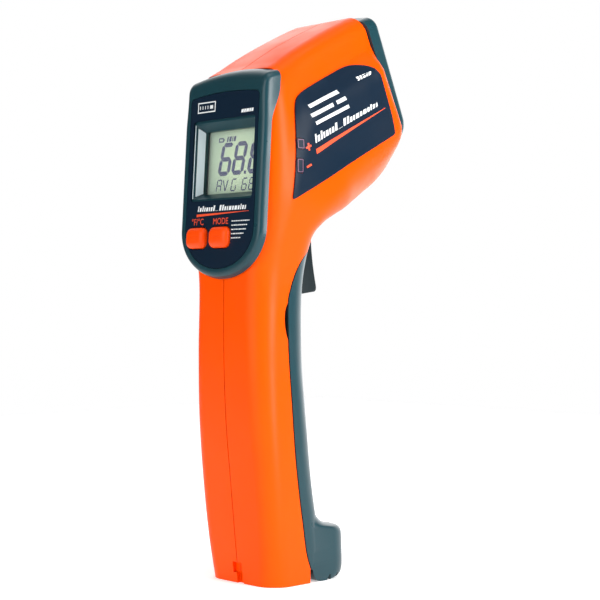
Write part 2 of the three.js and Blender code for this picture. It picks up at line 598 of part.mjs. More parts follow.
function battery() {
  const ring = (grow, z) => roundedRect(-CELL.wide / 2 - grow, CELL.wide / 2 + grow, -CELL.deep / 2 - grow, CELL.deep / 2 + grow, 3 + grow, 3)
    .map((p) => V(p.x, p.y, z));
  const can = loft([ring(-0.8, 0), ring(0, 0.8), ring(0, CELL.tall - 0.8), ring(-0.8, CELL.tall)]);
  return can.add(turnedZ([[CELL.tall - 0.1, 3.2], [CELL.tall + 2.2, 2.9]], -6.4, 0))
    .add(turnedZ([[CELL.tall - 0.1, 3.6], [CELL.tall + 2.2, 4.0]], 6.4, 0));
}

function turnedZ(rows, x, y, segments = 16) {
  const profile = [[rows[0][0], 0], ...rows, [rows.at(-1)[0], 0]].map(([z, r]) => new THREE.Vector2(r, z));
  const geometry = new THREE.LatheGeometry(profile, segments).rotateX(Math.PI / 2);
  return solid(geometry.translate(x, y, 0));
}

const batterySnap = () => prismZ(roundedRect(-12.8, 12.8, -6.4, 6.4, 3), CELL.tall + 0.3, CELL.tall + 4.6)
  .subtract(turnedZ([[CELL.tall - 1, 4.4], [CELL.tall + 2.6, 4.4]], -6.4, 0))
  .subtract(turnedZ([[CELL.tall - 1, 4.4], [CELL.tall + 2.6, 4.4]], 6.4, 0));

// A battery lead: up in front of the lower screw pillar, past the next one, and back to the board.
function lead(side) {
  const path = new THREE.CatmullRomCurve3([
    V(side * 6, 12.2, 60.6), V(side * 5.6, 13.8, 70), V(side * 4.5, 13.8, 82), V(side * 4, 16, 91),
    V(side * 4, 16.4, 100), V(side * 4.4, 13, 107), V(side * 5, 9.6, 111),
  ]);
  const wire = new THREE.Shape().absarc(0, 0, 0.65, 0, Math.PI * 2, false);
  return new THREE.ExtrudeGeometry(wire, { steps: 22, extrudePath: path, curveSegments: 4 });
}

// ------------------------------------------------------------------ screws
function screw([y, z]) {
  const body = turnedX([
    [SCREW.from - SCREW.headTall, SCREW.head - 0.5], [SCREW.from - SCREW.headTall + 0.5, SCREW.head],
    [SCREW.from - GAP, SCREW.head], [SCREW.from - GAP, SCREW.shank], [SCREW.to - 1, SCREW.shank], [SCREW.to, 0.3],
  ], y, z, 16);
  const x = SCREW.from - SCREW.headTall;
  return body.subtract(box(x - 1, x + 0.8, y - 1.5, y + 1.5, z - 0.3, z + 0.3))
    .subtract(box(x - 1, x + 0.8, y - 0.3, y + 0.3, z - 1.5, z + 1.5));
}

// ------------------------------------------------------------------ materials
const finish = (color, roughness, metalness = 0) => () => new THREE.MeshStandardMaterial({ color, roughness, metalness });
const orangeShell = finish(0xf26a1b, 0.42);
const slateGrey = finish(0x44606b, 0.45);
const darkGrey = finish(0x2c3236, 0.5);
const navyFilm = finish(0x14293c, 0.35);
const clearPlastic = finish(0xdfe9ea, 0.08);
const liquidCrystal = finish(0xaebfa4, 0.25);
const circuitGreen = finish(0x1f6b3c, 0.5);
const blackPlastic = finish(0x17191b, 0.5);
const greyRubber = finish(0x7d8285, 0.8);
const milkyLens = finish(0xd9dcd6, 0.35);
const steel = finish(0xa9adb0, 0.3, 1);
const brass = finish(0xb99a55, 0.3, 1);
const cellFoil = finish(0x2a3b55, 0.4);
const redWire = finish(0xb3221d, 0.5);

// ------------------------------------------------------------------ assembly
const thermometer = new THREE.Group();
thermometer.position.y = -ORIGIN_Y;
const face = new THREE.Group();
face.applyMatrix4(inFace);
const barrel = new THREE.Group();
barrel.position.set(0, NOSE.y, NOSE.z);
barrel.rotation.x = PITCH;
const cell = new THREE.Group();
cell.position.set(0, CELL.y, CELL.z);
cell.rotation.x = CELL.lean;
thermometer.add(face, barrel, cell);

function add(parent, name, shape, material) {
  const geometry = shape.isBufferGeometry ? shape : geometryOf(shape);
  const mesh = new THREE.Mesh(geometry, material());
  mesh.name = name;
  parent.add(mesh);
}

const blank = shellBlank();
add(thermometer, 'shell_right', blank.intersect(box(SPLIT_GAP / 2, 60, -40, 90, -10, 220)), orangeShell);
add(thermometer, 'shell_left', blank.intersect(box(-60, -SPLIT_GAP / 2, -40, 90, -10, 220)), orangeShell);
add(thermometer, 'side_label_right', sideLabel(1), navyFilm);
add(thermometer, 'side_label_left', sideLabel(-1), navyFilm);
for (const key of KEYS) add(thermometer, key.name, sideKey(key), navyFilm);
add(thermometer, 'side_key_board', sideKeyBoard(), circuitGreen);

add(face, 'rear_bezel', rearBezel(), slateGrey);
add(face, 'rear_label', rearLabel(), navyFilm);
add(face, 'display_window', displayWindow(), clearPlastic);
add(face, 'lcd_panel', lcdPanel(), liquidCrystal);
add(face, 'units_button', buttonCap(BUTTON.x[0]), orangeShell);
add(face, 'mode_button', buttonCap(BUTTON.x[1]), orangeShell);
add(face, 'keypad_membrane', keypadMembrane(), greyRubber);
add(face, 'main_board', mainBoard(), circuitGreen);
add(face, 'buzzer', buzzer(), blackPlastic);

add(barrel, 'nose_ring', noseRing(), slateGrey);
add(barrel, 'ir_lens', irLens(), milkyLens);
add(barrel, 'lens_tube', lensTube(), blackPlastic);
add(barrel, 'ir_sensor', irSensor(), steel);
add(barrel, 'sensor_board', sensorBoard(), circuitGreen);
add(barrel, 'laser_module', laserModule(), brass);
add(barrel, 'laser_window', laserWindow(), clearPlastic);

add(thermometer, 'trigger', trigger(), darkGrey);
add(thermometer, 'trigger_pin', triggerPin(), steel);
add(thermometer, 'trigger_spring', triggerSpring(), steel);
add(thermometer, 'microswitch', microswitch(), blackPlastic);

add(thermometer, 'battery_door', batteryDoor(), slateGrey);
add(thermometer, 'door_hinge_pin', hingePin(), steel);
add(cell, 'battery', battery(), cellFoil);
add(cell, 'battery_snap', batterySnap(), blackPlastic);
add(thermometer, 'battery_lead_red', lead(1), redWire);
add(thermometer, 'battery_lead_black', lead(-1), blackPlastic);
SCREWS.forEach((place, i) => add(thermometer, `shell_screw_${i + 1}`, screw(place), steel));

export default thermometer;
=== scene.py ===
# %% [markdown]
# # A pistol-grip infrared thermometer
# The real tool is a handful of mouldings round a circuit board: two orange shells, a slate-grey frame
# round the display, a nose ring, a trigger, and a battery door that runs down the front of the handle.
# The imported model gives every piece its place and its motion. This notebook gives each one its fine
# surface and its finish, piece by piece, in the order in which the real tool is put together.

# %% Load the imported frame
import math

import bpy
import numpy as np
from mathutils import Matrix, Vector


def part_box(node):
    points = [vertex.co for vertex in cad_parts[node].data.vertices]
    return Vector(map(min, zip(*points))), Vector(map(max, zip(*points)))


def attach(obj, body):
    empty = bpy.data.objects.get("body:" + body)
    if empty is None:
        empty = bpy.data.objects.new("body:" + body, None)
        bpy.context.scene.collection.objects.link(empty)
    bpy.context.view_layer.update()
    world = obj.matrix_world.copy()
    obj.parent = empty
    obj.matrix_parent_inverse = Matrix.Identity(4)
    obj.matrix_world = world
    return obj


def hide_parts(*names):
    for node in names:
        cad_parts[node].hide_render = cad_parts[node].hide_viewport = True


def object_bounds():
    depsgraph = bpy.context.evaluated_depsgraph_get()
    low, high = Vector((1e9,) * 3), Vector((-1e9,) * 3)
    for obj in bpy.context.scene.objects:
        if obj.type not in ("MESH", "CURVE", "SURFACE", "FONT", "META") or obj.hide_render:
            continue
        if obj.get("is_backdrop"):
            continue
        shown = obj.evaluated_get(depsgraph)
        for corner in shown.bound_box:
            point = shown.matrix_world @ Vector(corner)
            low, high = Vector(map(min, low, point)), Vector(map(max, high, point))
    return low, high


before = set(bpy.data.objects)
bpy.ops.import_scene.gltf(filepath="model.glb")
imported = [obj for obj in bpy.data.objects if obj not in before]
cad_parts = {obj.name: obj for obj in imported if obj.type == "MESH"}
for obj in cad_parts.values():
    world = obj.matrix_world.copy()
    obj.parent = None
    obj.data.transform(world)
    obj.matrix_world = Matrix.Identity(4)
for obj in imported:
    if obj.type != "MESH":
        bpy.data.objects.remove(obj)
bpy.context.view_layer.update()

# %% [markdown]
# ## The drawing
# The shapes below are drawn in millimetres: x to the right, y forward from the rear corner line of
# the handle, z up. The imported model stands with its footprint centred, so one shift along y joins the
# two, and the battery door's hinge pin gives it: the drawing has that pin at y = 24.5.

# %% From the drawing to the model
MM = 0.001
DOOR_PIVOT = {"y": 24.5, "z": 4.6, "r": 4.6}
pin_low, pin_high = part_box("door_hinge_pin")
SHIFT_Y = DOOR_PIVOT["y"] - (pin_low.y + pin_high.y) / 2 / MM

PITCH = math.radians(23.5)                      # the barrel points up by this angle
NOSE = (54.27, 161.27)                          # y, z of the middle of the nose's front plane
FACE = (-4.85, 111.0)                           # y, z of a point on the rear label
FACE_LEAN = math.atan(0.062)                    # the label leans forward by this angle
CELL = {"y": 14.3, "z": 8.2, "lean": math.radians(6.1), "wide": 26.0, "deep": 17.0, "tall": 46.4}


def to_model(points):
    """Drawing millimetres to model metres: (x, y - shift, z) / 1000."""
    return (np.asarray(points, float) - (0, SHIFT_Y, 0)) * MM


def upright(a, b, depth):
    """Outline in x, y, carried up z."""
    return np.stack([a, b, depth], -1)


def sideways(a, b, depth):
    """Outline in y, z, carried along x."""
    return np.stack([depth, a, b], -1)


def tilted(angle, y0, z0):
    """A frame turned about x by angle at (y0, z0): its outlines lie in x, z and its depth is its y."""
    def carry(a, b, depth):
        return np.stack([a, y0 + depth * math.cos(angle) - b * math.sin(angle),
                         z0 + depth * math.sin(angle) + b * math.cos(angle)], -1)
    return carry


in_face = tilted(-FACE_LEAN, *FACE)
in_barrel = tilted(PITCH, *NOSE)
print("shift along y", round(SHIFT_Y, 3), "mm")

# %% [markdown]
# ## Closed surfaces from rings
# Almost every moulding here is a stack of rings: a cross-section carried along a path while it changes.
# One function turns a whole array of rings into a closed mesh. Holes and pockets are then cut with
# Boolean modifiers, because a cut gives the crisp parting edges that a steel mould leaves.

# %% Rings to a closed mesh
def signed_volume(points, triangles):
    """Sum over triangles of a . (b x c) / 6. It is positive when the faces look outwards."""
    a, b, c = (points[triangles[:, k]] for k in range(3))
    return float(np.einsum("ij,ij->", a, np.cross(b, c)) / 6)


def stack_faces(count, size):
    """Quads between neighbouring rings, and one many-sided face over each end."""
    index = np.arange(count * size).reshape(count, size)
    ahead = np.roll(index, -1, axis=1)
    quads = np.stack([index[:-1], ahead[:-1], ahead[1:], index[1:]], -1).reshape(-1, 4)
    return quads, index[0, ::-1], index[-1]


def fan(ring):
    return np.stack([np.full(len(ring) - 2, ring[0]), ring[1:-1], ring[2:]], -1)


def new_object(name, points, faces):
    mesh = bpy.data.meshes.new(name)
    mesh.from_pydata(to_model(points).tolist(), [], faces)
    made = bpy.data.objects.new(name, mesh)
    bpy.context.scene.collection.objects.link(made)
    return made


def ring_solid(name, rings):
    """rings is (rings, points, 3) in drawing millimetres. The result is closed and faces outwards."""
    rings = np.asarray(rings, float)
    quads, first, last = stack_faces(*rings.shape[:2])
    points = rings.reshape(-1, 3)
    triangles = np.concatenate([quads[:, [0, 1, 2]], quads[:, [0, 2, 3]], fan(first), fan(last)])
    faces = quads.tolist() + [first.tolist(), last.tolist()]
    if signed_volume(points - points.mean(0), triangles) < 0:
        faces = [face[::-1] for face in faces]
    return new_object(name, points, faces)


def prism(name, outline, low, high, carry):
    """An outline (n, 2) carried from depth low to depth high. A depth may be a function of (a, b)."""
    a, b = np.asarray(outline, float).T
    depths = [d(a, b) if callable(d) else np.full(len(a), float(d)) for d in (low, high)]
    return ring_solid(name, [carry(a, b, d) for d in depths])


def turned(name, rows, a0, b0, carry, segments=48):
    """A solid of revolution: rows of (depth, radius) about the line at (a0, b0)."""
    depth, radius = np.asarray(rows, float).T[:, :, None]
    angle = np.linspace(0, 2 * np.pi, segments, endpoint=False)[None]
    a = a0 + radius * np.cos(angle)
    b = b0 + radius * np.sin(angle)
    return ring_solid(name, carry(a, b, depth + 0 * angle))


def block(name, x0, x1, y0, y1, z0, z1):
    return prism(name, [(x0, y0), (x1, y0), (x1, y1), (x0, y1)], z0, z1, upright)


# %% Cutting and joining
def copy_of(source):
    made = bpy.data.objects.new(source.name + "_copy", source.data.copy())
    bpy.context.scene.collection.objects.link(made)
    return made


def settle(piece, helpers=()):
    """The piece keeps what its modifiers made, and the helpers go."""
    bpy.context.view_layer.update()
    graph = bpy.context.evaluated_depsgraph_get()
    mesh = bpy.data.meshes.new_from_object(piece.evaluated_get(graph))
    piece.modifiers.clear()
    piece.data = mesh
    for helper in helpers:
        bpy.data.objects.remove(helper)
    return piece


def combine(piece, *steps):
    """steps are (operation, helper) pairs, taken in order: DIFFERENCE, UNION or INTERSECT."""
    for operation, helper in steps:
        cut = piece.modifiers.new("cut", "BOOLEAN")
        cut.operation = operation
        cut.solver = "MANIFOLD"
        cut.object = helper
    return settle(piece, [helper for _, helper in steps])


def round_edges(piece, width, segments=3, angle=35.0):
    """A moulded edge: every edge sharper than the angle gets a radius of about this width in mm."""
    bevel = piece.modifiers.new("edge", "BEVEL")
    bevel.width = width * MM
    bevel.segments = segments
    bevel.limit_method = "ANGLE"
    bevel.angle_limit = math.radians(angle)
    bevel.use_clamp_overlap = True
    return settle(piece)


# %% Curves and outlines
def smoothstep(low, high, x):
    """3t^2 - 2t^3 of t = (x - low) / (high - low), held between 0 and 1."""
    t = np.clip((x - low) / (high - low), 0, 1)
    return t * t * (3 - 2 * t)


def spline(knots, t):
    """Catmull-Rom through every knot, for t from 0 to 1. Between b and c, whose neighbours are a and d:
    (2b + (c - a) f + (2a - 5b + 4c - d) f^2 + (3b - a - 3c + d) f^3) / 2."""
    knots = np.asarray(knots, float)
    padded = np.vstack([2 * knots[0] - knots[1], knots, 2 * knots[-1] - knots[-2]])
    span = np.clip(np.asarray(t, float), 0, 1) * (len(knots) - 1)
    i = np.minimum(span.astype(int), len(knots) - 2)
    f = (span - i)[:, None]
    a, b, c, d = (padded[i + k] for k in range(4))
    return 0.5 * (2 * b + (c - a) * f + (2 * a - 5 * b + 4 * c - d) * f ** 2
                  + (3 * b - a - 3 * c + d) * f ** 3)


def softened(corners, cut, steps=6):
    """A polygon whose corners become quadratic curves that start `cut` before the corner and end `cut`
    after it: p = (1-t)^2 before + 2t(1-t) corner + t^2 after."""
    corner = np.asarray(corners, float)
    reach = np.broadcast_to(np.asarray(cut, float), (len(corner),))[:, None]
    back = np.roll(corner, 1, 0) - corner
    ahead = np.roll(corner, -1, 0) - corner
    back_length = np.linalg.norm(back, axis=1, keepdims=True)
    ahead_length = np.linalg.norm(ahead, axis=1, keepdims=True)
    before = corner + back * np.minimum(reach / back_length, 0.49)
    after = corner + ahead * np.minimum(reach / ahead_length, 0.49)
    t = np.linspace(0, 1, steps + 1)[None, :, None]
    curve = (1 - t) ** 2 * before[:, None] + 2 * t * (1 - t) * corner[:, None] + t ** 2 * after[:, None]
    return curve.reshape(-1, 2)


def rounded_box(a0, a1, b0, b1, r, steps=8):
    """A rectangle with quarter-circle corners, starting at its lower right one."""
    centre = np.array([(a1 - r, b0 + r), (a1 - r, b1 - r), (a0 + r, b1 - r), (a0 + r, b0 + r)])
    turn = np.linspace(0, np.pi / 2, steps + 1)[None] + (np.arange(4) * np.pi / 2 - np.pi / 2)[:, None]
    ring = centre[:, None] + r * np.stack([np.cos(turn), np.sin(turn)], -1)
    return ring.reshape(-1, 2)


print("ring, prism, lathe and outline helpers are ready")

# %% [markdown]
# ## The body as one lofted form
# The handle and the barrel are one flowing shape. Each station gives a cross-section: its rear and front
# points, half width, corner radii, how far the side panel swells, and how deep the rear corner runs.
# Between stations every one of these numbers follows a Catmull-Rom curve, so the surface has no kinks.
# A subdivision surface could give the same flow, but it would miss the measured points.

# %% Stations of the body
STATIONS = np.array([
    # rear y, rear z, front y, front z, half width, rear radius, front radius, swell, rear corner depth
    [3.5, 0, 27.4, 0, 15.9, 7.2, 7.5, 0, 7.2],
    [1.9, 14, 26.2, 14, 16.7, 6.4, 7.8, 0, 6.4],
    [0.1, 31, 23.3, 31, 17.1, 6.3, 8.6, 0, 6.3],
    [-1.9, 51, 21.1, 51, 17.1, 6.9, 8.8, 0, 6.9],
    [-2.8, 72, 19.3, 72, 16.8, 7.4, 8.6, 0, 7.4],
    [-2.8, 94, 19.6, 93, 17.0, 8.1, 8.8, 0, 8.4],
    [-2.8, 109, 21.2, 106.6, 19.6, 8, 9.5, 0, 9.4],
    [-2.5, 122, 25, 111.8, 21.4, 7.0, 10, 0.3, 10.2],
    [-1.9, 135, 30, 114.8, 21.8, 6.5, 10, 0.8, 10.6],
    [-1.0, 148, 35.6, 117.2, 21, 6.2, 10, 1.8, 10.6],
    [1.0, 157.3, 41.4, 120, 19.4, 6.2, 10, 3.2, 9.0],
    [8.2, 162.6, 46.8, 122.9, 18.3, 6, 10, 4.4, 7.0],
    [18.1, 168.6, 52, 126, 17.9, 6, 10, 5.1, 6],
    [28.5, 174.1, 56.4, 129.8, 17.8, 6, 10, 5.5, 6],
    [36.5, 178, 59, 133.6, 17.8, 6, 10, 5.5, 6],
    [40.3, 179.7, 59.1, 136.5, 17.8, 6, 10, 1.6, 6],
])
NOSE_RUN_OUT = [45.8, 182.1, 64.6, 138.9, 17.8, 6, 10, 1.6, 6]
WALL = 2.2
GAP = 0.3


def body_rings(grow=0.0, count=160, rows=STATIONS, arc=12, side=14):
    """Rounded rectangles along the body, grown outwards. Across the depth share s = q / depth the side
    stands out by swell * smoothstep(.2, .36, s) * (1 - smoothstep(.74, .96, s))."""
    row = spline(rows, np.linspace(0, 1, count + 1))
    ry, rz, fy, fz, half, r1, r2, swell, deep = row.T[:, :, None]
    length = np.hypot(fy - ry, fz - rz)
    cy, cz = (fy - ry) / length, (fz - rz) / length
    depth = length + 2 * grow
    half, r1, r2, deep = half + grow, r1 + grow, r2 + grow, deep + grow
    turn = np.linspace(0, np.pi / 2, arc + 1)[None]
    run = np.linspace(0, 1, side + 1)[None, 1:-1]
    none = np.zeros_like(half)
    x = np.hstack([none, half - r1 + r1 * np.sin(turn), half + 0 * run,
                   half - r2 + r2 * np.cos(turn), none])
    q = np.hstack([none, deep * (1 - np.cos(turn)), deep + (depth - deep - r2) * run,
                   depth - r2 + r2 * np.sin(turn), depth])
    share = q / depth
    panel = swell * smoothstep(0.2, 0.36, share) * (1 - smoothstep(0.74, 0.96, share))
    along = q - grow
    right = np.stack([x + np.where(x > 0, panel, 0), ry + cy * along, rz + cz * along], -1)
    left = right[:, -2:0:-1] * (-1, 1, 1)
    return np.concatenate([right, left], axis=1)


def body_solid(name, grow=0.0, **detail):
    return ring_solid(name, body_rings(grow, **detail))


LONG_ROWS = np.vstack([STATIONS, NOSE_RUN_OUT])
outer = body_solid("outer")
print("body surface:", len(outer.data.polygons), "faces")

# %% [markdown]
# ## Paint box
# One function adds a node with its settings and its links. Colours are written as sRGB hex, the way a
# paint chart gives them, and one function turns them linear for the shader.

# %% Colours and nodes
def linear(code, alpha=1.0):
    """sRGB hex to linear: c / 12.92 below 0.04045, else ((c + 0.055) / 1.055) ^ 2.4."""
    c = np.array([int(code[i:i + 2], 16) for i in (0, 2, 4)]) / 255
    c = np.where(c <= 0.04045, c / 12.92, ((c + 0.055) / 1.055) ** 2.4)
    return (*c.tolist(), alpha)


def add_node(tree, kind, settings=None, links=None):
    """settings set properties (lower-case names) or input sockets, links join inputs to outputs."""
    made = tree.nodes.new(kind)
    for key, value in (settings or {}).items():
        if isinstance(key, str) and key.islower():
            setattr(made, key, value)
        else:
            made.inputs[key].default_value = value
    for key, source in (links or {}).items():
        tree.links.new(source, made.inputs[key])
    return made


def empty_material(name):
    made = bpy.data.materials.new(name)
    made.use_nodes = True
    made.node_tree.nodes.clear()
    return made, made.node_tree


def close_material(tree, shader):
    add_node(tree, "ShaderNodeOutputMaterial", links={"Surface": shader.outputs[0]})


def moulded(name, colour, shade, rough, grain, depth, spread=0.06, patch=14.0, metal=0.0, extra=None):
    """A moulded or coated surface. Two noises on object coordinates: one of `patch` mm drifts the colour
    from `colour` to `shade` and the roughness by `spread`, one of `grain` mm is the tool's texture."""
    material, tree = empty_material(name)
    place = add_node(tree, "ShaderNodeTexCoord")
    drift = add_node(tree, "ShaderNodeTexNoise", {"Scale": 1 / (patch * MM), "Detail": 3.0},
                     {"Vector": place.outputs["Object"]})
    tint = add_node(tree, "ShaderNodeMix", {"data_type": "RGBA", 6: linear(colour), 7: linear(shade)},
                    {0: drift.outputs["Fac"]})
    gloss = add_node(tree, "ShaderNodeMapRange", {"From Min": 0.3, "From Max": 0.7,
                                                  "To Min": rough - spread, "To Max": rough + spread},
                     {"Value": drift.outputs["Fac"]})
    texture = add_node(tree, "ShaderNodeTexNoise", {"Scale": 1 / (grain * MM), "Detail": 2.0},
                       {"Vector": place.outputs["Object"]})
    relief = add_node(tree, "ShaderNodeBump", {"Strength": 1.0, "Distance": depth * MM},
                      {"Height": texture.outputs["Fac"]})
    settings = {"IOR": 1.5, "Metallic": metal}
    settings.update(extra or {})
    shader = add_node(tree, "ShaderNodeBsdfPrincipled", settings,
                      {"Base Color": tint.outputs[2], "Roughness": gloss.outputs[0],
                       "Normal": relief.outputs[0]})
    close_material(tree, shader)
    return material


# %% [markdown]
# ### Finishes of the mouldings
# The shells are ABS with a fine spark-eroded texture: satin, so a soft box shows as a soft-edged streak.
# The slate parts are the same plastic in a dark grey-green, the trigger a darker one. The labels are
# polyester film: smoother than the plastic round them, with the faint orange peel of film stretched over
# glue. The shells' grain is 0.5 mm where the real texture is nearer 0.1 mm, so that it still shows.

# %% Moulded finishes
orange_abs = moulded("orange_abs_spark_eroded", "ff5300", "fc4e00", 0.34, 0.5, 0.005,
                     extra={"Specular IOR Level": 0.09})
slate_abs = moulded("slate_abs_satin", "153c45", "12363e", 0.33, 0.5, 0.004,
                    extra={"Specular IOR Level": 0.36})
dark_abs = moulded("charcoal_abs_trigger", "0e1d21", "0c191d", 0.4, 0.5, 0.006,
                   extra={"Specular IOR Level": 0.3})
black_abs = moulded("black_abs_inner", "16181a", "101213", 0.5, 0.6, 0.01)
button_tpe = moulded("orange_silicone_key", "ff4d00", "fa4800", 0.38, 0.6, 0.005,
                     extra={"Specular IOR Level": 0.2})
navy_film = moulded("polyester_film_navy", "0b2032", "091b2c", 0.4, 3.0, 0.0008,
                    extra={"Specular IOR Level": 0.16})
rubber = moulded("silicone_rubber_grey", "7d8285", "74797c", 0.7, 0.4, 0.01)
white_ink = moulded("screen_ink_white", "f2f5f5", "e6eaeb", 0.42, 0.6, 0.003)
orange_ink = moulded("screen_ink_orange", "f2542a", "ee4c22", 0.42, 0.6, 0.003)
violet_ink = moulded("screen_ink_violet", "6a3a5a", "613552", 0.42, 0.6, 0.003)
# Pale paint for the display reveal's side walls: painted light, standing in for the soft box on the right
# lighting them.
reveal_painted_light = moulded("satin_reveal_painted_light", "e4f2f7", "dbebf1", 0.3, 2.0, 0.002)
steel = moulded("zinc_plated_steel", "c4c8ca", "aab0b4", 0.28, 0.3, 0.004, metal=1.0)
brass = moulded("turned_brass", "c8a55c", "b8934a", 0.26, 0.3, 0.004, metal=1.0)
board_green = moulded("solder_mask_green", "1d6a3a", "175430", 0.3, 1.6, 0.03, patch=5.0)
red_pvc = moulded("red_pvc_wire", "b3221d", "a11d19", 0.42, 0.8, 0.01)
black_pvc = moulded("black_pvc_wire", "17181a", "101112", 0.42, 0.8, 0.01)
cell_wrap = moulded("shrink_sleeve_blue", "26395a", "1f3050", 0.3, 4.0, 0.02, extra={"Coat Weight": 0.4})
white_pe = moulded("milky_polyethylene_lens", "e3e6e0", "d6dad4", 0.32, 0.8, 0.006,
                   extra={"Subsurface Weight": 0.25, "Subsurface Scale": 0.002})
print("moulded finishes:", len(bpy.data.materials))


# %% Finish a piece
def finish_piece(piece, body, material, slot, *nodes, angle=32.0):
    """Smooth shading with crisp edges above the angle, then the piece's body and CAD nodes. The slot is not
    used.
    """
    piece.data.materials.clear()
    piece.data.materials.append(material)
    piece.data.polygons.foreach_set("use_smooth", np.ones(len(piece.data.polygons), bool))
    piece.data.set_sharp_from_angle(angle=math.radians(angle))
    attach(piece, body)
    if nodes:
        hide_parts(*nodes)
    print(f"{piece.name}: {len(piece.data.polygons)} faces")
    return piece


# %% [markdown]
# ## Rear panel outlines
# The display frame is a tall panel: straight sides, a half-ellipse below, an arched top with rounded
# corners. The label, the rim and their clearances are the same outline grown or shrunk.

# %% Panel outlines
ARC_Z = 110.3
LABEL = {"half": 15.85, "drop": 12.2, "top": 152, "crown": 0.9, "corner": 1.6}
RIM = {"half": 19.4, "drop": 15.3, "top": 158.9, "crown": 1.7, "corner": 2.6}
WINDOW = {"left": -13.9, "right": 14.2, "bottom": 119.6, "top": 144.4}
INSET = {"side": 1.2, "bottom": 2.3, "top": 2.6, "depth": 3.8}
BUTTON = {"z": 107.7, "wide": 8.9, "tall": 6.5, "proud": 1.9, "x": (-9.9, 0.9)}


def panel_outline(spec, grow=0.0, steps=64, top_steps=32, corner_steps=10, side_steps=40):
    """Lower half-ellipse, right side, right corner, arched top, left corner, left side."""
    w = spec["half"] + grow
    r = max(spec["corner"] + grow, 0.4)
    top = spec["top"] + grow
    sweep = np.pi + np.linspace(0, np.pi, steps + 1)
    lower = np.stack([w * np.cos(sweep), ARC_Z + (spec["drop"] + grow) * np.sin(sweep)], -1)
    rise = np.linspace(0, 1, side_steps + 1)[1:-1]
    right = np.stack([np.full(len(rise), w), ARC_Z + (top - r - ARC_Z) * rise], -1)
    quarter = np.linspace(0, np.pi / 2, corner_steps + 1)
    corner = np.stack([w - r + r * np.cos(quarter), top - r + r * np.sin(quarter)], -1)
    x = (w - r) * (1 - np.linspace(0, 2, top_steps + 1)[1:-1])
    arch = np.stack([x, top + spec["crown"] * (1 - (x / (w - r)) ** 2)], -1)
    points = np.concatenate([lower, right, corner, arch, corner[::-1] * (-1, 1), right[::-1] * (-1, 1)])
    return points - (0, FACE[1])


def rim_depth(a, b):
    """How far behind the label the rim's outer edge lies: deeper at the top, where it has ears."""
    return 2.4 + 2.9 * smoothstep(142.0, 153.5, b + FACE[1])


def face_box(a0, a1, z0, z1, r):
    return rounded_box(a0, a1, z0 - FACE[1], z1 - FACE[1], r)


def button_outline(x, grow=0.0):
    half_w, half_t = BUTTON["wide"] / 2 + grow, BUTTON["tall"] / 2 + grow
    return face_box(x - half_w, x + half_w, BUTTON["z"] - half_t, BUTTON["z"] + half_t, 2.1 + grow)


# %% [markdown]
# ## The two orange shells
# The body surface, hollowed by the same surface shrunk by the 2.2 mm wall. Screw pillars, the trigger's
# posts and the hinge tongues join it, and the pockets come out: the display frame, the battery door,
# the trigger slot, the finger notches, the screw counterbores, the lanyard notch and the side keys.
# Last it is sawn down the middle, which leaves the parting line.

# %% Shell pockets
SCREWS = [(8.5, 70), (11.5, 99), (26.1, 165.9), (44, 133.5)]
SCREW = {"shank": 1.15, "head": 2.6, "tall": 1.6, "seat": -9.0, "tip": 6.0, "boss": 3.5}
TRIGGER = {"y": 28.0, "z": 119.0, "half": 5.5}
DOOR_SEAM = [(19.3, 4.6), (17.1, 10.2), (15.0, 20.4), (13.6, 28), (12.1, 38.1), (11.1, 48.1),
             (10.4, 57.4), (9.4, 70.5), (9.0, 80.4), (9.0, 87.8), (10, 92), (11.5, 96.4),
             (13.3, 99.8), (15.5, 102.2), (18, 103.6)]
DOOR_GAP = 0.45
DOOR_NOTCH = {"half": 7.0, "z": 86.0}
KEYS = {"plus_key": (8.4, 135.9, 2.5, 3.2), "minus_key": (8.0, 129.2, 2.4, 4.4)}
KEY_GAP = 0.14


def rod(name, x0, x1, r, y, z, segments=40):
    return turned(name, [(x0, r), (x1, r)], y, z, sideways, segments)


def joined(name, pieces):
    first, *others = pieces
    first.name = name
    return combine(first, *[("UNION", other) for other in others])


def door_space(clearance):
    """Everything in front of the seam. The door's own lower end is round, the shells' is square."""
    y, z, r = DOOR_PIVOT["y"], DOOR_PIVOT["z"], DOOR_PIVOT["r"]
    seam = spline(DOOR_SEAM, np.linspace(0, 1, 90)) - (clearance, 0)
    if clearance > 0:
        lower = np.array([(y - r - clearance, -3.0)])
    else:
        turn = np.pi * (1 + np.linspace(0.5, 0.04, 12))
        lower = np.stack([y + r * np.cos(turn), z + r * np.sin(turn)], -1)
    top = [(18, 103.6 + 2 * clearance), (24, 105 + 2 * clearance), (45, 105), (45, -3), (y, -3)]
    space = prism("door_space", np.concatenate([lower, seam[:-1], top]), -30, 30, sideways)
    half = DOOR_NOTCH["half"] - clearance
    return combine(space, ("DIFFERENCE", block("tongue", -half, half, 0, 60,
                                               DOOR_NOTCH["z"] + clearance, 120)))


def key_outline(key, grow=0.0):
    y, z, wide, tall = KEYS[key]
    return rounded_box(y - wide / 2 - grow, y + wide / 2 + grow, z - tall / 2 - grow,
                       z + tall / 2 + grow, 0.6 + grow)


FINGER_NOTCH = spline([(11.4, 73), (9.4, 75), (8.1, 77.6), (7.4, 81.2), (7.6, 85.2), (9.2, 88.8)],
                      np.linspace(0, 1, 30))
FINGER_NOTCH = np.concatenate([FINGER_NOTCH, [(14, 88.8), (14, 73)]])

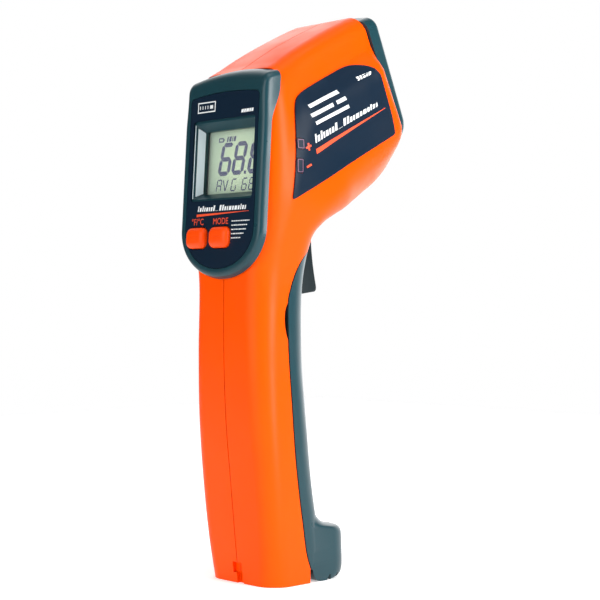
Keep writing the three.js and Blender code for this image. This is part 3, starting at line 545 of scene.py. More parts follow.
pockets = []
for y, z in SCREWS:
    pockets.append(turned("screw_hole", [(-40, SCREW["head"] + GAP), (SCREW["seat"], SCREW["head"] + GAP),
                                         (SCREW["seat"], SCREW["shank"] + 0.2),
                                         (SCREW["tip"] + 1.5, SCREW["shank"] + 0.2)], y, z, sideways))
pockets.append(prism("panel_pocket", panel_outline(RIM, GAP), -12,
                     lambda a, b: rim_depth(a, b) + GAP, in_face))
pockets.append(prism("panel_hole", panel_outline(RIM, -2.4), -12, 13, in_face))
pockets.append(door_space(DOOR_GAP))
pockets += [prism("finger_notch", FINGER_NOTCH, low, high, sideways)
            for low, high in ((14.2, 30), (-30, -14.2))]

# %% Shell blank
pillars = joined("pillars", [rod("pillar", -24, 24, SCREW["boss"], y, z) for y, z in SCREWS]
                 + [rod("post", low, high, 2.4, TRIGGER["y"], TRIGGER["z"])
                    for low, high in ((6.2, 22), (-22, -6.2))])
pillars = combine(pillars, ("INTERSECT", copy_of(outer)))
hollow = combine(body_solid("hollow", -WALL, count=80, rows=LONG_ROWS, arc=8, side=8),
                 ("DIFFERENCE", block("floor", -40, 40, -20, 80, -20, 2.4)))
blank = combine(copy_of(outer), ("DIFFERENCE", hollow), ("UNION", pillars),
                *[("DIFFERENCE", pocket) for pocket in pockets])

tongue_line = [(12, 1.6), (19.5, 2.4), (DOOR_PIVOT["y"], 2.4), (DOOR_PIVOT["y"], 6.8), (12, 6.8)]
tongues = joined("tongues", [prism("tongue", tongue_line, low, low + 4, sideways) for low in (4, -8)]
                 + [rod("eye", low, low + 4, 2.2, DOOR_PIVOT["y"], DOOR_PIVOT["z"]) for low in (4, -8)])
tongues = combine(tongues, ("INTERSECT", body_solid("shy", -0.2, count=40)))

slot_half = TRIGGER["half"] + 0.5
trigger_slot = prism("trigger_slot", [(21.6, 107.6), (31.2, 106), (31.6, 118.4), (22, 116.6)],
                     -slot_half, slot_half, sideways)
late_cuts = [trigger_slot, rod("trigger_bore", -9, 9, 1.15, TRIGGER["y"], TRIGGER["z"]),
             rod("hinge_bore", -14, 14, 1.05, DOOR_PIVOT["y"], DOOR_PIVOT["z"]),
             block("lanyard", -2.2, 2.2, 0, 4.3, 3.2, 6.6), block("leg", -0.6, 2.2, 0, 4.6, -1, 3.3)]
late_cuts += [prism("key_hole", key_outline(key, KEY_GAP), 16, 30, sideways) for key in KEYS]
blank = combine(blank, ("UNION", tongues), *[("DIFFERENCE", cut) for cut in late_cuts])
print("shell blank:", len(blank.data.polygons), "faces")

# %% Saw the blank into halves
PARTING = 0.15
for name, low, high in (("shell_right", PARTING, 60), ("shell_left", -60, -PARTING)):
    half = combine(copy_of(blank), ("INTERSECT", block("half_space", low, high, -40, 90, -10, 220)))
    half.name = name + "_moulding"
    finish_piece(half, "housing", orange_abs, "orange_shell", name)
bpy.data.objects.remove(blank)

# %% [markdown]
# ## The display frame
# A slate moulding round the label. Its section, from the label's edge outwards, is nearly flat, turns
# over a tight crest and drops steeply to the shell, and that crest is what catches the light as one thin
# line. The section is a curve of (share of the width, share of the depth) carried round the outline.

# %% Display frame
RIM_SECTION = [(0, 0), (0.3, 0.02), (0.55, 0.09), (0.72, 0.22), (0.83, 0.42), (0.91, 0.66), (1, 1)]
section = spline(RIM_SECTION, np.linspace(0, 1, 26))
label_line = panel_outline(LABEL, 0.2)
rim_line = panel_outline(RIM)
share_out, share_back = section.T[:, :, None]
line = label_line[None] * (1 - share_out[..., None]) + rim_line[None] * share_out[..., None]
rise = rim_depth(line[..., 0], line[..., 1])
rings = [in_face(line[k, :, 0], line[k, :, 1], rise[k] * share_back[k]) for k in range(len(section))]
skirt = panel_outline(RIM, -2.4 - GAP)
rings.append(in_face(*skirt.T, rim_depth(*skirt.T)))
rings.append(in_face(*skirt.T, np.full(len(skirt), 9.0)))
bezel = ring_solid("display_frame", rings)


def window_ring(inset_share, depth):
    side, low, high = (INSET[k] * inset_share for k in ("side", "bottom", "top"))
    outline = face_box(WINDOW["left"] + side, WINDOW["right"] - side, WINDOW["bottom"] + low,
                       WINDOW["top"] - high, 0.8)
    return in_face(*outline.T, np.full(len(outline), depth))


funnel = ring_solid("funnel", [window_ring(-0.1, -0.4), window_ring(1, INSET["depth"]),
                               window_ring(1, INSET["depth"] + 9)])
cuts = [prism("cavity", panel_outline(RIM, -3.6), 5.0, 12, in_face),
        prism("label_seat", label_line, -3, 0.6, in_face), funnel]
cuts += [prism("button_hole", button_outline(x, GAP), -3, 12, in_face) for x in BUTTON["x"]]
bezel = combine(bezel, *[("DIFFERENCE", cut) for cut in cuts])
finish_piece(bezel, "housing", slate_abs, "slate_grip", "rear_bezel")

# %% [markdown]
# ## The front label
# A printed film, 0.3 mm thick, laid in a shallow seat of the frame, with holes for the display and the
# two keys. The print is raised a hair above it, as screen ink is, so that it stays crisp from near by.

# %% Front label film
label = prism("front_label_film", panel_outline(LABEL), 0, 0.3, in_face)
holes = [prism("view", face_box(WINDOW["left"] - 0.3, WINDOW["right"] + 0.3, WINDOW["bottom"] - 0.3,
                                WINDOW["top"] + 0.3, 1.0), -1, 1, in_face)]
holes += [prism("hole", button_outline(x, GAP), -1, 1, in_face) for x in BUTTON["x"]]
label = combine(label, *[("DIFFERENCE", hole) for hole in holes])
finish_piece(label, "housing", navy_film, "navy_film", "rear_label")


# %% Stamps for print and display
def stamps(name, polygons, low, high, carry):
    """Many small prisms at once: polygons (n, k, 2), each closed between depth low and depth high."""
    outline = np.asarray(polygons, float)
    n, k = outline.shape[:2]
    area = np.cross(outline, np.roll(outline, -1, 1)).sum(1)
    outline = np.where(area[:, None, None] < 0, outline[:, ::-1], outline)
    layers = [carry(outline[..., 0], outline[..., 1], np.full((n, k), float(d))) for d in (low, high)]
    points = np.stack(layers, 1).reshape(-1, 3)
    near = np.arange(n * 2 * k).reshape(n, 2, k)[:, 0]
    far = near + k
    sides = np.stack([near, far, np.roll(far, -1, 1), np.roll(near, -1, 1)], -1).reshape(-1, 4)
    faces = sides.tolist() + near.tolist() + far[:, ::-1].tolist()
    caps = np.concatenate([fan(ring) for ring in (near[0], far[0, ::-1])])
    body = sides[:k]
    triangles = np.concatenate([body[:, [0, 1, 2]], body[:, [0, 2, 3]], caps])
    if signed_volume(points - points[near[0, 0]], triangles) < 0:
        faces = [face[::-1] for face in faces]
    return new_object(name, points, faces)


def strokes(lines, thick):
    """Bars with pointed ends along lines (n, 2 ends, 2): hexagons, as on a segment display."""
    lines = np.asarray(lines, float)
    start, end = lines[:, 0], lines[:, 1]
    way = end - start
    way = way / np.linalg.norm(way, axis=1, keepdims=True)
    side = np.stack([-way[:, 1], way[:, 0]], -1) * thick / 2
    inner = way * thick / 2
    return np.stack([start, start + inner + side, end - inner + side, end,
                     end - inner - side, start + inner - side], 1)


def bars(rows, slant=0.0):
    """Rectangles from rows of (a0, a1, b0, b1), leaning by slant = da / db."""
    a0, a1, b0, b1 = np.asarray(rows, float).T
    lean = (b1 - b0) * slant
    return np.stack([np.stack([a0, b0], -1), np.stack([a1, b0], -1),
                     np.stack([a1 + lean, b1], -1), np.stack([a0 + lean, b1], -1)], 1)


# %% [markdown]
# ### The print on the front label
# The maker's wording isn't reproduced. Rows of short bars stand where lines of small type would be, and
# a plain outlined gauge takes the corner. Under the middle row runs the tapering orange stripe.
# The two legends over the keys are the plain words for what such keys do.

# %% Front label print
def type_row(a0, a1, b0, height, words, gap=0.35):
    """Greeked type: bars of the given relative widths, spread over a0..a1."""
    widths = np.asarray(words, float)
    scale = (a1 - a0 - gap * (len(widths) - 1)) / widths.sum()
    start = a0 + np.concatenate([[0], np.cumsum(widths[:-1] * scale + gap)])
    return np.stack([start, start + widths * scale, np.full(len(widths), b0),
                     np.full(len(widths), b0 + height)], -1)


def on_face(rows):
    return np.asarray(rows, float) - (0, 0, FACE[1], FACE[1])


def letter_row(a0, a1, b0, height, words, gap):
    """Greeked type whose bars differ in height too: words holds (width, share of the height)."""
    rows = type_row(a0, a1, b0, height, [w for w, _ in words], gap)
    rows[:, 3] = b0 + height * np.array([tall for _, tall in words])
    return rows


PRINT_LIFT, PRINT_FOOT = -0.03, 0.05            # the depths of the print's top and of its underside
WORDS = [(0.5, 1), (0.9, 0.7), (0.6, 1), (0.6, 0.7), (0.9, 0.7), (0.6, 0.7), (0.8, 0.7), (0.8, 1),
         (1.6, 0.04), (0.9, 1), (0.8, 1), (0.8, 0.7), (0.6, 0.7), (1.2, 0.7), (0.8, 0.7), (1.2, 0.7),
         (0.8, 0.7), (0.5, 0.95), (0.8, 0.7), (0.6, 0.7)]
title = bars(on_face(letter_row(-10.4, 12.0, 116.0, 1.75, WORDS, 0.42)), 0.2)
fine = [type_row(5.9, end, z, 0.32, words * 2, 0.2) for end, z, words in
        ((14.0, 112.4, [2, 1.4, 2.4, 1.1, 0.9]), (13.0, 111.1, [1.6, 2.2, 1.2, 1.1]),
         (12.6, 109.8, [2.4, 1.3, 1.7, 0.8]), (11.6, 108.5, [1.2, 2.1, 1.0]), (10.2, 107.2, [1.5, 0.9, 1.1]))]
fine = bars(on_face(np.concatenate(fine)))
corner_row = bars(on_face(type_row(8.0, 13.4, 145.8, 1.0, [1.2, 0.9, 1.4, 0.8, 1.0], 0.2)), 0.2)
gauge = bars(on_face([(-12.6, -4.2, 147.2, 147.55), (-12.6, -4.2, 150.2, 150.55),
                      (-12.6, -12.25, 147.55, 150.2), (-4.55, -4.2, 147.55, 150.2),
                      (-11.6, -11.3, 148.3, 149.4), (-10.4, -10.1, 148.3, 149.4),
                      (-9.2, -8.9, 148.3, 149.4), (-8.0, -7.7, 148.3, 149.4),
                      (-6.8, -5.4, 148.3, 149.4)]))
print_white = stamps("front_print_white", np.concatenate([title, fine, corner_row, gauge]),
                     PRINT_LIFT, PRINT_FOOT, in_face)
finish_piece(print_white, "housing", white_ink, "navy_film")

STRIPE = np.array([[(-10.8, 114.4), (-10.8, 115.2), (13.5, 115.5), (13.5, 115.4)]]) - (0, FACE[1])
stripe = stamps("front_print_stripe", STRIPE, PRINT_LIFT, PRINT_FOOT, in_face)
finish_piece(stripe, "housing", orange_ink, "navy_film")


def lettering(name, text, size, a0, b0, carry, low, high, squeeze):
    """Plain type, made a mesh first and then carried to its place: (a, b) of the type becomes
    (a0 + squeeze * a, b0 + b), its thickness the depth from low to high."""
    curve = bpy.data.curves.new(name, "FONT")
    curve.body = text
    curve.size = size
    curve.extrude = 0.5
    curve.resolution_u = 4
    source = bpy.data.objects.new(name, curve)
    bpy.context.scene.collection.objects.link(source)
    bpy.context.view_layer.update()
    graph = bpy.context.evaluated_depsgraph_get()
    mesh = bpy.data.meshes.new_from_object(source.evaluated_get(graph))
    bpy.data.objects.remove(source)
    spot = np.zeros(len(mesh.vertices) * 3)
    mesh.vertices.foreach_get("co", spot)
    a, b, depth = spot.reshape(-1, 3).T
    placed = carry(a0 + a * squeeze, b0 + b, np.where(depth > 0, low, high))
    mesh.vertices.foreach_set("co", to_model(placed).ravel())
    made = bpy.data.objects.new(name, mesh)
    bpy.context.scene.collection.objects.link(made)
    return made


LEGEND_Z = 111.8
for name, text, a0, size in (("legend_units", "°F/°C", -13.1, 2.9), ("legend_mode", "MODE", -2.9, 2.8)):
    legend = lettering(name, text, size, a0, LEGEND_Z - FACE[1], in_face, PRINT_LIFT, PRINT_FOOT,
                       squeeze=0.9)
    finish_piece(legend, "housing", orange_ink, "navy_film")

# %% [markdown]
# ## The display
# A reflective liquid crystal behind a clear window, sunk in a tapered reveal whose side walls are painted
# pale: painted light, as if the soft box on the right lit them. The glass is grey-green, painted lighter
# towards its middle and darker at its edges, as the recess would shade them, and it has a faint painted
# glow. Each digit is seven pointed bars, leaning by 12 degrees, and a row of thinner ones runs below.

# %% Liquid crystal and window finishes
def glass_with_painted_glow():
    """Grey-green, painted lighter towards the middle and darker at the edges as painted shade of the recess,
    with a faint painted glow: mix by distance from the middle in mm.
    """
    material, tree = empty_material("twisted_nematic_glass_painted_glow")
    place = add_node(tree, "ShaderNodeTexCoord")
    low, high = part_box("lcd_panel")
    middle = [-(a + b) / 2 / (12 * MM) for a, b in zip(low, high)]
    centred = add_node(tree, "ShaderNodeMapping",
                       {"Scale": (1 / (12 * MM),) * 3, "Location": middle},
                       {"Vector": place.outputs["Object"]})
    distance = add_node(tree, "ShaderNodeVectorMath", {"operation": "LENGTH"},
                        {0: centred.outputs[0]})
    # Lighter in the middle, darker at the edges: painted shade of the recess round the glass.
    share = add_node(tree, "ShaderNodeMapRange", {"From Min": 0.2, "From Max": 1.25},
                     {"Value": distance.outputs["Value"]})
    tint = add_node(tree, "ShaderNodeMix", {"data_type": "RGBA", 6: linear("ccdfb6"), 7: linear("9fb79d")},
                    {0: share.outputs[0]})
    weave = add_node(tree, "ShaderNodeTexNoise", {"Scale": 1 / (0.5 * MM)},
                     {"Vector": place.outputs["Object"]})
    relief = add_node(tree, "ShaderNodeBump", {"Distance": 0.002 * MM}, {"Height": weave.outputs["Fac"]})
    # The faint emission is a painted glow: this reflective display has no lamp behind it.
    shader = add_node(tree, "ShaderNodeBsdfPrincipled",
                      {"Roughness": 0.35, "IOR": 1.5, "Emission Strength": 0.16},
                      {"Base Color": tint.outputs[2], "Emission Color": tint.outputs[2],
                       "Normal": relief.outputs[0]})
    close_material(tree, shader)
    return material


def clear_material():
    """Clear acrylic: almost nothing but its gloss, with a faint waviness from the mould."""
    material, tree = empty_material("clear_acrylic_window")
    place = add_node(tree, "ShaderNodeTexCoord")
    wave = add_node(tree, "ShaderNodeTexNoise", {"Scale": 1 / (9 * MM)}, {"Vector": place.outputs["Object"]})
    relief = add_node(tree, "ShaderNodeBump", {"Distance": 0.01 * MM}, {"Height": wave.outputs["Fac"]})
    gloss = add_node(tree, "ShaderNodeMapRange", {"To Min": 0.03, "To Max": 0.09},
                     {"Value": wave.outputs["Fac"]})
    shader = add_node(tree, "ShaderNodeBsdfPrincipled",
                      {"Base Color": linear("eef6f6"), "IOR": 1.49, "Alpha": 0.1},
                      {"Roughness": gloss.outputs[0], "Normal": relief.outputs[0]})
    close_material(tree, shader)
    return material


crystal = glass_with_painted_glow()
clear = clear_material()
segment_ink = moulded("liquid_crystal_segment", "0f1668", "0c1258", 0.4, 0.6, 0.002)

# %% Glass, window and reveal
GLASS_DEPTH = 6.4
PANE_FRONT, PANE_BACK = 5.3, 5.9
glass = prism("lcd_glass", face_box(WINDOW["left"] + 0.2, WINDOW["right"] - 0.2, WINDOW["bottom"] + 0.6,
                                    WINDOW["top"] - 0.6, 0.6), GLASS_DEPTH, GLASS_DEPTH + 2.0, in_face)
finish_piece(round_edges(glass, 0.15), "housing", crystal, "liquid_crystal", "lcd_panel")
pane = prism("clear_window_pane", face_box(WINDOW["left"] + 0.2, WINDOW["right"] - 0.2,
                                           WINDOW["bottom"] + 1.3, WINDOW["top"] - 1.6, 0.8),
             PANE_FRONT, PANE_BACK, in_face)
finish_piece(round_edges(pane, 0.12), "housing", clear, "clear_window", "display_window")

# Pale strips on the reveal's left and right walls only: painted light, as if the soft box on the right lit
# them; top and bottom stay slate.
strips = []
for sign, edge in ((1, WINDOW["left"]), (-1, WINDOW["right"])):
    front_edge = edge - sign * 0.02
    back_edge = edge + sign * INSET["side"]
    quad = np.array([(front_edge, WINDOW["bottom"] + 0.7), (front_edge, WINDOW["top"] - 0.7),
                     (back_edge, WINDOW["top"] - INSET["top"]),
                     (back_edge, WINDOW["bottom"] + INSET["bottom"])]) - (0, FACE[1])
    depth = np.array([0.45, 0.45, 3.75, 3.75])
    over = quad + (sign * 0.12, 0)
    strips.append(ring_solid("reveal", [in_face(*quad.T, depth), in_face(*over.T, depth)]))
reveal = joined("display_reveal_strips_painted_light", strips)
finish_piece(reveal, "housing", reveal_painted_light, "clear_window")

# %% Digits on the glass
SEGMENTS = {"a": ((0, 2), (1, 2)), "b": ((1, 2), (1, 1)), "c": ((1, 1), (1, 0)), "d": ((0, 0), (1, 0)),
            "e": ((0, 0), (0, 1)), "f": ((0, 1), (0, 2)), "g": ((0, 1), (1, 1))}
SHAPES = {"0": "abcdef", "6": "acdefg", "8": "abcdefg", "A": "abcefg", "G": "acdef", "F": "aefg"}
SLANT = math.tan(math.radians(12))


def digits(text, a0, b0, wide, tall, pitch, thick, trim):
    """Strokes of each character: segment ends at (col, row) of a 1 x 2 grid, scaled and leaned."""
    ends = [np.array([SEGMENTS[s] for s in SHAPES[c]], float) * (wide, tall / 2) + (i * pitch, 0)
            for i, c in enumerate(text)]
    lines = np.concatenate(ends)
    way = lines[:, 1:] - lines[:, :1]
    unit = way / np.linalg.norm(way, axis=2, keepdims=True)
    lines = lines + np.concatenate([unit, -unit], 1) * trim
    lines[..., 0] += lines[..., 1] * SLANT
    return strokes(lines + (a0, b0 - FACE[1]), thick)


BIG = {"b0": 128.6, "wide": 4.3, "tall": 9.0, "pitch": 6.4, "thick": 1.4, "trim": 0.06}
SMALL = {"b0": 123.0, "wide": 2.0, "tall": 3.6, "thick": 0.42, "trim": 0.08}
big = np.concatenate([digits("68", -8.5, **BIG), digits("8", 5.3, **BIG)])
letters = digits("A0G", -9.6, pitch=3.5, **SMALL)
vee = strokes([((-6.2, 126.6 - FACE[1]), (-5.3, 123.0 - FACE[1])),
               ((-5.3, 123.0 - FACE[1]), (-3.9, 126.6 - FACE[1]))], SMALL["thick"])
first_letter, last_letter = letters[:len(SHAPES["A"])], letters[-len(SHAPES["G"]):]
small = np.concatenate([first_letter, last_letter, vee, digits("688", 2.4, pitch=3.3, **SMALL)])
icons = digits("F", 11.0, 138.0, 1.1, 2.4, 2, 0.4, 0.06)
dots = bars(on_face([(3.3, 4.3, 128.0, 129.0), (7.9, 8.3, 122.8, 123.2), (9.6, 10.1, 139.9, 140.4),
                     (-9.2, -6.9, 138.6, 139.0), (-9.2, -6.9, 139.6, 140.0), (-9.2, -8.8, 138.6, 140.0),
                     (-7.3, -6.9, 138.6, 140.0), (-6.8, -6.5, 139.0, 139.6)]))
marks = bars(on_face([(-5.4, -4.8, 138.6, 140.2), (-4.4, -3.4, 138.6, 140.2), (-3.0, -2.6, 138.6, 140.2),
                      (-2.2, -1.3, 138.6, 140.2)]), SLANT)
INK_BACK = GLASS_DEPTH - 0.03
INK_FRONT = INK_BACK - 0.04
segments = stamps("lcd_segments", np.concatenate([big, small, icons]), INK_FRONT, INK_BACK, in_face)
blocks = stamps("lcd_blocks", np.concatenate([dots, marks]), INK_FRONT, INK_BACK, in_face)
finish_piece(segments, "housing", segment_ink, "liquid_crystal")
finish_piece(blocks, "housing", segment_ink, "liquid_crystal")

# %% [markdown]
# ## Keys on the front
# Two soft-cornered caps. Their crown is the key's outline drawn in step by step while it rises, which
# leaves a flat top with a rolled edge, as a moulded key has.

# %% Front keys
CROWN = [(-2.6, -1.9), (-1.9, -1.88), (-1.35, -1.78), (-0.9, -1.6), (-0.5, -1.32), (-0.2, -0.98),
         (-0.05, -0.6), (0, -0.2), (0, 8.0)]
LIP_FRONT, LIP_BACK = 5.3, 6.2
for node, body, x in (("units_button", "units_key", BUTTON["x"][0]),
                      ("mode_button", "mode_key", BUTTON["x"][1])):
    rings = []
    for grow, depth in CROWN:
        half_w, half_t = BUTTON["wide"] / 2 + grow, BUTTON["tall"] / 2 + grow
        outline = face_box(x - half_w, x + half_w, BUTTON["z"] - half_t, BUTTON["z"] + half_t,
                           max(2.1 + grow * 0.55, 0.3))
        rings.append(in_face(*outline.T, np.full(len(outline), depth)))
    cap = ring_solid(node + "_cap", rings)
    reach = BUTTON["tall"] / 2 + 0.9
    lip = prism("lip", face_box(x - 2, x + 2, BUTTON["z"] - reach, BUTTON["z"] + reach, 0.3),
                LIP_FRONT, LIP_BACK, in_face)
    finish_piece(combine(cap, ("UNION", lip)), body, button_tpe, "orange_key", node, angle=40)

# %% [markdown]
# ## Side labels and side keys
# The film follows the swelling side of the barrel, so it is the body surface grown by its glue and its
# own thickness, cut to the label's outline. The print is drawn flat and then pressed sideways onto the
# film or the key cap with a Shrinkwrap modifier, which is how a pad printer lays ink on a curved face.

# %% Side labels
SIDE_LABEL = softened([(5.8, 118.7), (49.8, 141.9), (48.3, 147), (42.5, 160.6), (40.2, 162.8), (37.6, 163.3),
                       (32.4, 162.9), (11.6, 152.2), (8.9, 149.6), (7.7, 145.5)],
                      [0.9, 1.1, 2.4, 2.2, 1.4, 1.4, 4, 2.2, 1.6, 4])
LIFT, FILM = 0.25, 0.35
KEY_BACK = 17.6
SIDE_KEYS = {"plus_key": "plus_side_key", "minus_key": "minus_side_key"}
side_films = {}
for name, low, high in (("side_label_right", 12, 30), ("side_label_left", -30, -12)):
    film = combine(body_solid(name + "_film", LIFT + FILM), ("DIFFERENCE", body_solid("under", LIFT)),
                   ("INTERSECT", prism("cut", SIDE_LABEL, low, high, sideways)))
    if low > 0:
        film = combine(film, *[("DIFFERENCE", prism("hole", key_outline(key, KEY_GAP), 16, 30, sideways))
                               for key in KEYS])
    side_films[name] = finish_piece(film, "housing", navy_film, "navy_film", name)

for key, body in SIDE_KEYS.items():
    y, z, wide, tall = KEYS[key]
    cap = combine(prism(key + "_cap", key_outline(key), KEY_BACK, 30, sideways),
                  ("INTERSECT", body_solid("over", LIFT + FILM + 0.05)),
                  ("UNION", block("flange", 17, KEY_BACK, y - 2.2, y + 2.2,
                                  z - tall / 2 - 0.6, z + tall / 2 + 0.6)))
    side_films[key] = finish_piece(cap, body, navy_film, "navy_film", key)


# %% Print on the side labels
def grid_strip(corners, across, along):
    """A quadrilateral (4, 2) as a grid of points by bilinear mixing of its corners."""
    p = np.asarray(corners, float)
    s = np.linspace(0, 1, along + 1)[:, None, None]
    t = np.linspace(0, 1, across + 1)[None, :, None]
    grid = (1 - s) * ((1 - t) * p[0] + t * p[3]) + s * ((1 - t) * p[1] + t * p[2])
    index = np.arange(grid.shape[0] * grid.shape[1]).reshape(grid.shape[:2])
    quads = np.stack([index[:-1, :-1], index[1:, :-1], index[1:, 1:], index[:-1, 1:]], -1).reshape(-1, 4)
    return grid.reshape(-1, 2), quads


def pressed_print(name, shapes, side, material, target=None, body="housing"):
    """Flat grids in y, z pressed along x onto a film or a key on that side, 0.03 mm proud of it."""
    points, faces, start = [], [], 0
    for corners, across, along in shapes:
        spot, quads = grid_strip(corners, across, along)
        points.append(spot)
        faces.append(quads + start)
        start += len(spot)
    points = np.concatenate(points)
    faces = np.concatenate(faces)
    x = np.full(len(points), side * 32.0)
    made = new_object(name, sideways(*points.T, x), faces.tolist())
    wrap = made.modifiers.new("press", "SHRINKWRAP")
    wrap.wrap_method = "PROJECT"
    wrap.use_project_x = True
    wrap.use_negative_direction = side > 0
    wrap.use_positive_direction = side < 0
    wrap.target = side_films[target or ("side_label_right" if side > 0 else "side_label_left")]
    wrap.offset = 0.03 * MM
    settle(made)
    return finish_piece(made, body, material, "navy_film")


def between(corners, t0, t1, low, high):
    """The part of a quadrilateral (foot, foot, head, head) from t0 to t1 along and low to high across."""
    p = np.asarray(corners, float)
    foot = [p[0] + (p[1] - p[0]) * t for t in (t0, t1)]
    head = [p[3] + (p[2] - p[3]) * t for t in (t0, t1)]
    return [f + (h - f) * share for f, h, share in ((foot[0], head[0], low), (foot[1], head[1], low),
                                                    (foot[1], head[1], high), (foot[0], head[0], high))]


def greeked(corners, words, gap):
    """Bars of the given relative widths and heights along a quadrilateral."""
    wide = np.array([w for w, _ in words]) + gap
    at = np.concatenate([[0], np.cumsum(wide)]) / (wide.sum() - gap)
    return [(between(corners, a, a + w / (wide.sum() - gap), 0, tall), 2, 3)
            for a, (w, tall) in zip(at, words)]


TITLE = [(14.1, 136.4), (41.3, 150.1), (41.1, 151.9), (13.8, 139.1)]
MARK = [(14.6, 141.6), (29.4, 148.4), (25.9, 154.9), (11.4, 147.9)]
SMALL_MARK = [(33.0, 158.7), (39.1, 161.2), (38.7, 160.0), (33.3, 157.5)]
MARK_BARS = [(0.02, 0.98, 0.05, 0.2), (0.0, 0.62, 0.42, 0.58), (0.72, 0.98, 0.42, 0.58),
             (0.08, 0.9, 0.8, 0.95)]            # from and to along MARK, from and to across it
SMALL_WORDS = [(1, 1), (0.8, 1), (1.2, 1), (0.7, 1), (1, 1)]
STRIPE_SIDE = [(14.6, 133.1), (44.8, 149.8), (44.8, 150.0), (14.3, 134.6)]
for side in (1, -1):
    tag = "right" if side > 0 else "left"
    row = greeked(TITLE, WORDS, 0.4)
    row += greeked(SMALL_MARK, SMALL_WORDS, 0.35)
    row += [(between(MARK, a, b, low, high), 3, 12) for a, b, low, high in MARK_BARS]
    pressed_print("side_print_white_" + tag, row, side, white_ink)
    pressed_print("side_print_stripe_" + tag, [(STRIPE_SIDE, 3, 40)], side, orange_ink)


def bar_about(y, z, long, thick, degrees):
    """The corners of a bar round the middle (y, z), turned by that many degrees."""
    angle = math.radians(degrees)
    way = np.array([math.cos(angle), math.sin(angle)]) * long / 2
    side_way = np.array([-way[1], way[0]]) / long * thick
    middle = np.array([y, z])
    return [middle - way - side_way, middle + way - side_way,
            middle + way + side_way, middle - way + side_way]


signs = [(bar_about(11.2, 135.1, 2.3, 0.62, 27), 2, 3), (bar_about(11.2, 135.1, 2.3, 0.62, 100), 2, 3),
         (bar_about(11.4, 129.3, 2.2, 0.62, 27), 2, 3)]
pressed_print("side_signs", signs, 1, orange_ink)


def key_frame(key, inset=0.22, thick=0.22):
    """Four thin bars just inside a side key's outline: the printed border of its cap."""
    y, z, wide, tall = KEYS[key]
    y0, y1, z0, z1 = y - wide / 2 + inset, y + wide / 2 - inset, z - tall / 2 + inset, z + tall / 2 - inset
    boxes = [(y0, y1, z0, z0 + thick), (y0, y1, z1 - thick, z1), (y0, y0 + thick, z0 + thick, z1 - thick),
             (y1 - thick, y1, z0 + thick, z1 - thick)]
    return [([(a, c), (b, c), (b, d), (a, d)], 1, 3) for a, b, c, d in boxes]


for key, body in SIDE_KEYS.items():
    pressed_print(key + "_frame", key_frame(key), 1, violet_ink, key, body)

# %% [markdown]
# ## Nose ring and optics
# The nose is a slate ring with a rolled front edge and a sunk face. The lens is a milky sheet of
# polyethylene, pressed into fine steps: a Fresnel lens, which passes infrared. It is turned from a
# saw-tooth profile, with a tooth about every half millimetre.

# %% Nose ring
OPTIC_Z = -3.0
LASER_Z = 13.2


def nose_outline(half, top, bottom, upper, lower, steps=12):
    """Square shoulders above, round corners below, a slightly arched top."""
    turn = np.linspace(0, np.pi / 2, steps + 1)
    low = np.stack([half - lower + lower * np.sin(turn), bottom + lower - lower * np.cos(turn)], -1)
    high = np.stack([half - upper + upper * np.cos(turn), top - upper + upper * np.sin(turn)], -1)
    x = np.linspace(half - upper, 0, 10)[1:]
    arch = np.stack([x, top + 0.8 * (1 - (x / (half - upper)) ** 2)], -1)
    right = np.concatenate([low, high, arch])
    return np.concatenate([right, right[-2::-1] * (-1, 1)])


ROLL = [(0, -5.2), (0, -1.5), (-0.06, -1.0), (-0.25, -0.55), (-0.6, -0.2), (-1.05, -0.05), (-1.6, 0)]
rings = []
for grow, depth in ROLL:
    outline = nose_outline(18.8 + grow, 21 + grow, -21.6 - grow, 4 + grow * 0.6, 8 + grow * 0.8)
    rings.append(in_barrel(*outline.T, np.full(len(outline), depth)))
nose = ring_solid("nose_moulding", rings)
face_recess = prism("recess", nose_outline(15.2, 17.6, -18.4, 3.6, 6), -2.2, 5, in_barrel)
spigot = prism("spigot", nose_outline(15.1, 17.6, -19, 4, 7), -8.5, -5.1, in_barrel)
bore = prism("bore", nose_outline(13.4, 15.8, -17, 3, 6), -14, -4.4, in_barrel)
aperture = turned("aperture", [(-20, 8.3), (-3.9, 8.3), (-3.3, 8.6), (-2.1, 10.4), (0, 10.4)],
                  0, OPTIC_Z, in_barrel, 72)
laser_hole = turned("laser_hole", [(-20, 2.7), (0, 2.7)], 0, LASER_Z, in_barrel, 40)
nose = combine(nose, ("UNION", spigot),
               *[("DIFFERENCE", cut) for cut in (face_recess, bore, aperture, laser_hole)])
finish_piece(nose, "housing", slate_abs, "slate_grip", "nose_ring")

# %% Fresnel lens and laser window
TEETH = 15
radius = np.linspace(8.6, 0.6, TEETH + 1)
low_edge = np.stack([np.full(TEETH, -6.25), radius[:-1]], -1)
high_edge = np.stack([np.full(TEETH, -6.02), radius[1:] + 0.06], -1)
profile = np.stack([low_edge, high_edge], 1).reshape(-1, 2)
profile = np.concatenate([[(-7.9, 8.6)], profile])
lens = turned("fresnel_lens", profile, 0, OPTIC_Z, in_barrel, 72)
finish_piece(lens, "housing", white_pe, "milky_lens", "ir_lens", angle=20)
port = turned("laser_port_window", [(-3.9, 2.2), (-3.8, 2.4), (-3.25, 2.4), (-3.1, 2.2)],
              0, LASER_Z, in_barrel)
finish_piece(port, "housing", clear, "clear_window", "laser_window")

# %% [markdown]
# ## Trigger
# A blade that hangs from a pin in the shells. Its side profile is drawn with two shallow curves, where
# the finger rests, carried across its width, and its edges are rounded over, as a finger needs.

# %% Trigger
def bow(start, control, end, steps=10):
    """A quadratic curve: (1-t)^2 start + 2t(1-t) control + t^2 end."""
    t = np.linspace(0, 1, steps + 1)[:, None]
    return (1 - t) ** 2 * np.array(start) + 2 * t * (1 - t) * np.array(control) + t ** 2 * np.array(end)


